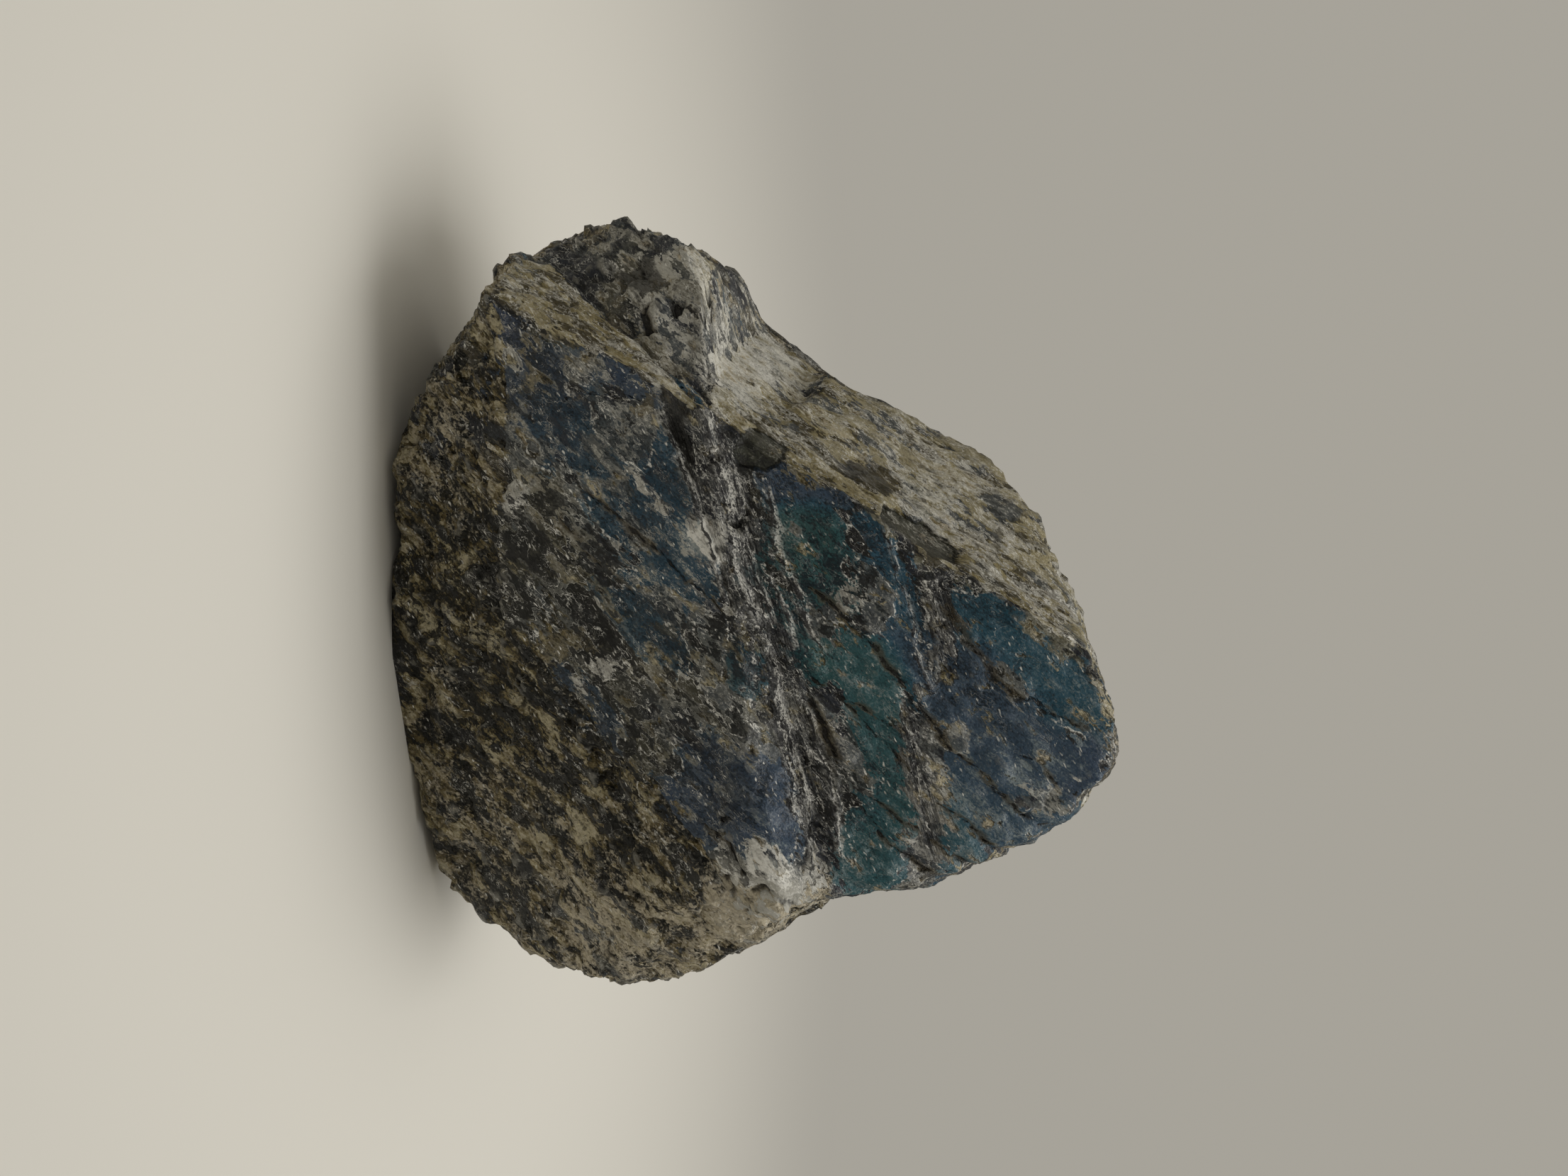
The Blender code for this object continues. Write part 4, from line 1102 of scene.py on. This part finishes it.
# Painted sheen: the blue flash is light sent back from thin layers inside the crystal, painted here into
# the colour.
blue = ramp_of(field("hue"), (0.0, (0.036, 0.058, 0.118)), (0.18, (0.042, 0.074, 0.118)),
               (0.34, (0.020, 0.078, 0.126)), (0.55, (0.024, 0.090, 0.122)),
               (0.95, (0.026, 0.092, 0.096)))
blue_tone = math("MULTIPLY_ADD", rare_flake, 0.10, sheet_tone)
blue = shaded(blue, blue_tone, (0.004, 0.010, 0.017, 1), (0.250, 0.300, 0.310, 1))
veiled = cut(varied(small_swell, (fine, 0.8), (tiny_pick, 0.3)), 0.42, 0.62, 0.75, 0.10)
flash_share = product(flash_patch, largest(field("clear"), veiled), 0.96)
colour = blend(flash_share, colour, blue)
haze = ramp_of(ground_place, (0.1, (0.052, 0.060, 0.066)), (0.5, (0.078, 0.086, 0.088)),
               (0.9, (0.124, 0.126, 0.116)))
haze = shaded(haze, flake_tone)
colour = blend(math("MULTIPLY", film_patch, cut(big_swell, 0.3, 0.6, 0.55, 0.95)), colour, haze)
tans = ramp_of(small_pick, (0.0, (0.085, 0.070, 0.038)), (0.5, (0.135, 0.112, 0.060)),
               (1.0, (0.230, 0.200, 0.125)))
tans = shaded(tans, sheet_tone)
colour = blend(math("MULTIPLY", tan_patch, 0.75), colour, tans)
pales = ramp_of(small_pick, (0.0, (0.180, 0.180, 0.168)), (0.5, (0.260, 0.256, 0.232)),
                (1.0, (0.420, 0.410, 0.370)))
pales = shaded(pales, flake_tone, (0.020, 0.020, 0.022, 1), (0.80, 0.79, 0.74, 1))
streaks = cut(layer_line, 0.40, 0.48, 0.35, 1.0)
colour = blend(math("MULTIPLY", pale_patch, streaks), colour, pales)

layered_tone = varied(layer_line, (layer_pick, 0.30), (small_pick, 0.10), (fine, 0.30))
layered_tone = math("MULTIPLY_ADD", field("lighter"), 1.2, layered_tone)
layered_look = ramp_of(layered_tone, (0.32, (0.010, 0.010, 0.013)), (0.47, (0.040, 0.042, 0.046)),
                       (0.59, (0.084, 0.085, 0.083)), (0.72, (0.180, 0.176, 0.160)),
                       (0.88, (0.500, 0.490, 0.450)))
colour = blend(math("MULTIPLY", layer_patch, cut(big_pick, 0.3, 0.5, 0.5, 0.92)), colour, layered_look)

# %% Fibrous walls
wall_place = varied(wall_pick, (combed, 0.6), (mottle, 1.6), (cloud, 0.8))
grey_wall = ramp_of(wall_place, (0.08, (0.062, 0.068, 0.070)), (0.32, (0.108, 0.114, 0.106)),
                    (0.54, (0.150, 0.153, 0.130)), (0.76, (0.195, 0.188, 0.142)),
                    (0.94, (0.300, 0.294, 0.250)))
gold_wall = ramp_of(wall_place, (0.14, (0.062, 0.050, 0.022)), (0.34, (0.112, 0.092, 0.042)),
                    (0.54, (0.184, 0.150, 0.064)), (0.76, (0.246, 0.206, 0.098)),
                    (0.94, (0.350, 0.306, 0.184)))
gold_band, _ = ragged_patch("tan", 1.2, 1.4, 1.6, 0.2, 0.6)
gold_share = largest(gold_band, cut(varied(cloud, (wall_pick, 0.3), (mottle, 0.8)), 0.49, 0.55, 0.0, 0.8))
wall_tone = varied(lighter, (small_pick, 0.18), (tiny_pick, 0.14), (fine, 0.45), (hair, 0.20),
                   (combed, 0.55))
wall_tone = math("ADD", wall_tone, 0.04)
wall_tone = math("MULTIPLY_ADD", gold_band, 0.05, wall_tone)
wall_look = shaded(blend(gold_share, grey_wall, gold_wall), wall_tone, (0.020, 0.019, 0.014, 1),
                   (0.78, 0.77, 0.71, 1))
wall_look = blend(math("MULTIPLY", pale_patch, 0.7), wall_look, pales)
fibre_near = math("MULTIPLY_ADD", small_shift, 0.7, math("MULTIPLY_ADD", big_shift, 0.4, field("fibre")))
fibre_share = cut(fibre_near, 0.46, 0.54)
colour = blend(fibre_share, colour, wall_look)
smooth_share = cut(math("MULTIPLY_ADD", small_shift, 0.4, field("smooth")), 0.42, 0.58)
smooth_look = ramp_of(big_swell, (0.3, (0.024, 0.027, 0.019)), (0.7, (0.046, 0.046, 0.032)))
smooth_look = shaded(smooth_look, sheet_tone)
colour = blend(math("MULTIPLY", smooth_share, 0.95), colour, smooth_look)

# %% Granular stone
clusters = noise(space(11, 4, 4), 5, 0.62).outputs[0]
grain_place = varied(0.5, (clusters, 3.2), (grain_pick, 0.42), (small_pick, 0.40), (mottle, 1.6),
                     (cloud, 0.8))
grain_look = ramp_of(grain_place, (0.04, (0.004, 0.005, 0.004)), (0.34, (0.014, 0.012, 0.005)),
                     (0.48, (0.058, 0.045, 0.017)), (0.62, (0.136, 0.104, 0.042)),
                     (0.80, (0.215, 0.178, 0.086)), (0.98, (0.440, 0.392, 0.260)))
grain_tone = varied(lighter, (crumb_pick, 0.30), (grain_noise, 0.9), (fine, 0.7), (small_pick, 0.22))
grain_look = shaded(grain_look, grain_tone, (0.004, 0.004, 0.002, 1), (0.56, 0.50, 0.38, 1))
grain_near = math("MULTIPLY_ADD", small_shift, 1.2, math("MULTIPLY_ADD", big_shift, 1.0, field("grain")))
grain_share = cut(grain_near, 0.44, 0.56)
colour = blend(grain_share, colour, grain_look)

# %% White bruises and painted glints, hair lines, specks, painted light and shade on ridges, edges and hollows, and cracks
lines = largest(math("MULTIPLY", small_lip, 0.9), big_lip, math("MULTIPLY", tiny_lip, 0.3))
lines = product(lines, broken_up)
lines = product(lines, cut(grain_share, 0.0, 1.0, 1.0, 0.25), cut(flash_share, 0.0, 1.0, 1.0, 0.25))
some = cut(combed, 0.47, 0.56)
border_line = product(largest(flash_lip, pale_lip), cut(fine, 0.40, 0.58, 0.2, 0.9), some)
speck_cell = add("TexVoronoi", {"Vector": shaken(space(1.6, 0.5, 0.6, (0, -0.5, 0)), 0.9), "Scale": 1.0})
speck_pick = add("SeparateColor", {0: speck_cell.outputs["Color"]}).outputs[1]
specks = product(cut(speck_cell.outputs["Distance"], 0.14, 0.30, 1.0, 0.0), cut(speck_pick, 0.66, 0.70),
                 cut(patchy, 0.42, 0.58, 0.15, 1.0))
streak = product(field("bruise"), cut(layer_line, 0.46, 0.54), cut(fine, 0.36, 0.54, 0.1, 0.9),
                 cut(mottle, 0.40, 0.52, 0.3, 1.0))
edge_near = math("MULTIPLY_ADD", ragged_shift, 1.6, math("MULTIPLY_ADD", small_shift, 0.5, field("edge")))
beside_edge = cut(field("edge_gap"), 0.9, 1.2, 1.0, 0.0)
# Painted highlight: a thin white line on the upper lip of each flatter break, where light falls on it.
edge_highlight = cut(math("ABSOLUTE", math("SUBTRACT", edge_near, 0.15)), 0.06, 0.26, 1.0, 0.0)
edge_highlight = product(beside_edge, edge_highlight, cut(fine, 0.40, 0.56, 0.0, 0.8),
                    cut(patchy, 0.40, 0.52, 0.1, 1.0))
plate_near = math("MULTIPLY_ADD", ragged_shift, 1.4, math("MULTIPLY_ADD", small_shift, 1.0, field("plate")))
plate_line = cut(math("ABSOLUTE", plate_near), 0.05, 0.24, 1.0, 0.0)
plate_line = product(plate_line, cut(fine, 0.38, 0.50, 0.1, 1.0), some)
layer_line_share = product(layer_lip, layer_patch, some)
wall_line_share = product(wall_lip, fibre_share, cut(patchy, 0.40, 0.50))
# Partly white bruises, partly painted glints: lips, specks, streaks and lines where small facets catch the
# light are painted near-white.
bruises_and_glints = largest(lines, specks, streak, border_line, layer_line_share, wall_line_share, edge_highlight,
                 plate_line)
bruises_and_glints = math("MULTIPLY", bruises_and_glints, cut(smooth_share, 0.0, 1.0, 0.85, 0.1))
colour = blend(bruises_and_glints, colour, (0.84, 0.83, 0.78, 1))

proud = math("MULTIPLY_ADD", ragged_shift, 3.0, field("proud"))
# Painted light and shade: paler on ridges that stand proud, as bruising and painted light, and darker in
# hollows as painted shade.
colour = blend(cut(proud, 0.8, 2.6, 0.0, 0.5), colour, (0.30, 0.29, 0.25, 1))
colour = blend(cut(proud, -2.8, -0.7, 0.85, 0.0), colour, (0.010, 0.009, 0.006, 1))
# Painted shade: near-black in the hollows and under a flake's edge.
colour = blend(math("MULTIPLY", hollow_shade_patch, 0.8), colour, (0.010, 0.009, 0.007, 1))
# Painted shadow: a thin dark line just below the edge of each flatter break.
shadow_under_edge = product(beside_edge, cut(edge_near, -0.75, -0.55), cut(edge_near, -0.20, -0.05, 1.0, 0.0),
                     cut(combed, 0.42, 0.52, 0.2, 0.95))
colour = blend(shadow_under_edge, colour, (0.008, 0.008, 0.009, 1))
crack_near = math("MULTIPLY_ADD", ragged_shift, 1.0, field("crack"))
stain = math("MULTIPLY", cut(crack_near, 0.05, 0.6, 0.7, 0.0), cut(small_pick, 0.3, 0.6))
colour = blend(stain, colour, (0.070, 0.056, 0.032, 1))
crack_line = cut(crack_near, -0.16, 0.06, 0.95, 0.0)
colour = blend(crack_line, colour, (0.006, 0.005, 0.004, 1))
tree.links.new(colour, shader.inputs["Base Color"])

# %% Gloss and fine relief
rough = math("MULTIPLY_ADD", flake_pick_two, 0.20, cut(grain_share, 0.0, 1.0, 0.16, 0.24))
rough = math("MULTIPLY_ADD", crumb_pick_two, 0.24, rough)
tree.links.new(rough, shader.inputs["Roughness"])
shader.inputs["IOR"].default_value = 1.56
shader.inputs["Specular IOR Level"].default_value = 0.28


def piled(*layers):
    """The sum of patterns, each times its height in mm."""
    total = 0.0
    for pattern, tall in layers:
        total = math("MULTIPLY_ADD", pattern, tall, total)
    return total


sheet_height = piled((big_floor, 2.2), (small_floor, 1.3), (tiny_floor, 0.3), (small_swell, 0.3),
                     (flake_lean, 0.50), (crumb_lean, 0.14))
grain_height = piled((grain_lean, 1.3), (small_floor, 1.4), (grain_pick_two, 0.35), (crumb_lean, 0.8),
                     (crumb_pick_two, 0.16), (grain_noise, 1.2))
wall_height = piled((wall_floor, 2.0), (small_floor, 1.3), (tiny_floor, 0.5), (combed, 0.6), (hair, 0.10),
                    (flake_lean, 0.4), (crumb_lean, 0.25))
layer_height = piled((layer_floor, 2.4), (tiny_floor, 0.4), (layer_line, 0.8), (flake_lean, 0.3),
                     (crumb_lean, 0.2))
sheet_height = math("MULTIPLY_ADD", math("SUBTRACT", layer_height, sheet_height), layer_patch, sheet_height)
height = math("MULTIPLY", sheet_height, cut(field("smooth"), 0.2, 0.8, 1.0, 0.1))
height = math("MULTIPLY_ADD", math("SUBTRACT", grain_height, sheet_height), grain_share, height)
wall_share = math("MULTIPLY", fibre_share, cut(field("smooth"), 0.2, 0.8, 1.0, 0.0))
height = math("MULTIPLY_ADD", math("SUBTRACT", wall_height, height), wall_share, height)
height = math("MULTIPLY_ADD", crack_line, -0.30, height)
height = math("MULTIPLY_ADD", fine, 0.10, height)
bump = add("Bump", {"Strength": 1.0, "Distance": MM, "Height": height})
tree.links.new(bump.outputs[0], shader.inputs["Normal"])
stone_mesh.materials.append(stone_look)
print("the finish has", len(tree.nodes), "nodes")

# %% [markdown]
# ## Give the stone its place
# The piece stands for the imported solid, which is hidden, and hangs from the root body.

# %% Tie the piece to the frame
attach(stone, "root")
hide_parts("labradorite_chunk")

# %% [markdown]
# ## A floor without an end
# The stage is one pale floor. A wall would need a curve and would catch stray light, so the floor
# instead fades into the tone of the surroundings as it goes out, and no horizon shows from any
# side. It is a disc of rings whose spacing grows with the distance.

# %% The stage
FLOOR_RADIUS = 6.0        # metres
FADE_FROM, FADE_TO = 0.03, 0.36
BACKDROP = (0.385, 0.365, 0.320, 1)
ROOM_SHARE = 0.4          # how bright the far floor and the room are as light, beside how they look
RINGS, SPOKES = 24, 96


def disc_of_rings():
    """Ring k lies at radius R (k / rings)^2, and spoke t at angle 2 pi t / spokes: each point is
    (r cos, r sin, 0). The middle ring is closed by one face."""
    radius = FLOOR_RADIUS * (np.arange(1, RINGS + 1) / RINGS) ** 2
    angle = np.linspace(0, 2 * np.pi, SPOKES, endpoint=False)
    points = np.stack([np.outer(radius, np.cos(angle)), np.outer(radius, np.sin(angle)),
                       np.zeros((RINGS, SPOKES))], axis=-1).reshape(-1, 3)
    row = np.arange(RINGS - 1)[:, None] * SPOKES
    this = np.arange(SPOKES)[None]
    after = (this + 1) % SPOKES
    quads = np.stack([row + this, row + SPOKES + this, row + SPOKES + after, row + after], axis=-1)
    return points, quads.reshape(-1, 4)


floor_points, floor_quads = disc_of_rings()
floor_mesh = bpy.data.meshes.new("floor")
floor_mesh.from_pydata(floor_points.tolist(), [], [list(range(SPOKES))] + floor_quads.tolist())
ground = bpy.data.objects.new("floor", floor_mesh)
bpy.context.scene.collection.objects.link(ground)

paper = bpy.data.materials.new("pale_paper")
paper.use_nodes = True
tree = paper.node_tree
paper_shader = tree.nodes["Principled BSDF"]
paper_shader.inputs["Base Color"].default_value = (0.78, 0.765, 0.72, 1)
paper_shader.inputs["Roughness"].default_value = 0.9
paper_shader.inputs["Specular IOR Level"].default_value = 0.1
distance_out = add("VectorMath", {0: add("TexCoord").outputs["Object"]}, operation="LENGTH")
fade = cut(distance_out.outputs["Value"], FADE_FROM, FADE_TO)
seen_directly = add("LightPath").outputs["Is Camera Ray"]
glow = add("Emission", {"Color": BACKDROP, "Strength": cut(seen_directly, 0.0, 1.0, ROOM_SHARE, 1.0)})
faded = add("MixShader", {0: fade, 1: paper_shader.outputs[0], 2: glow.outputs[0]})
tree.links.new(faded.outputs[0], tree.nodes["Material Output"].inputs["Surface"])
floor_mesh.materials.append(paper)
print("the floor has", len(floor_mesh.polygons), "faces")

# %% [markdown]
# ## Light
# One large soft light hangs over the stone, a little to the right, so tops are bright and upright
# faces dim, and the soft shadow falls to the left. The room gives more light from above than from
# the sides, so that dark stone stays dark, while the backdrop is seen in one even tone.

# %% The light and the surroundings
CEILING = 1.45            # the room straight above, beside the tone of the backdrop


def soft_light(name, place, target, size, power, colour):
    """A square area light of this size in metres, turned from its place to its target."""
    data = bpy.data.lights.new(name, "AREA")
    data.shape = "SQUARE"
    data.size = size
    data.energy = power
    data.color = colour
    made = bpy.data.objects.new(name, data)
    made.location = place
    made.rotation_euler = (Vector(target) - Vector(place)).to_track_quat("-Z", "Y").to_euler()
    bpy.context.scene.collection.objects.link(made)
    return made


soft_light("overhead", (0.28, -0.02, 0.85), (0.0, 0.0, 0.0), 0.80, 4.0, (1.0, 0.985, 0.95))
surroundings = bpy.data.worlds.new("studio")
surroundings.use_nodes = True
tree = surroundings.node_tree
upward = add("SeparateXYZ", {0: add("TexCoord").outputs["Generated"]}).outputs["Z"]
room = cut(upward, -0.1, 1.0, ROOM_SHARE, CEILING)
is_seen = add("LightPath").outputs["Is Camera Ray"]
strength = add("Mix", {0: is_seen, 2: room, 3: 1.0}, data_type="FLOAT").outputs[0]
tree.links.new(strength, tree.nodes["Background"].inputs["Strength"])
tree.nodes["Background"].inputs["Color"].default_value = BACKDROP
bpy.context.scene.world = surroundings
bpy.context.scene.view_settings.view_transform = "Standard"

# %% [markdown]
# ## The camera
# The camera looks slightly down on the stone and lies on its side, so up is to the right in the
# picture.

# %% Camera
SENSOR = 36.0             # mm across the whole picture
lens = bpy.data.cameras.new("camera")
lens.sensor_width = SENSOR
lens.lens = SENSOR * FOCAL_PIXELS / PICTURE_WIDTH
lens.clip_start = 0.01
camera = bpy.data.objects.new("camera", lens)
turned = Matrix(np.stack([to_right, to_top, to_viewer], axis=1).tolist()).to_4x4()
place = Vector(LENS_PLACE * MM)
camera.matrix_world = Matrix.Translation(place) @ turned
bpy.context.scene.collection.objects.link(camera)
bpy.context.scene.camera = camera
print("lens", round(lens.lens, 2), "mm")
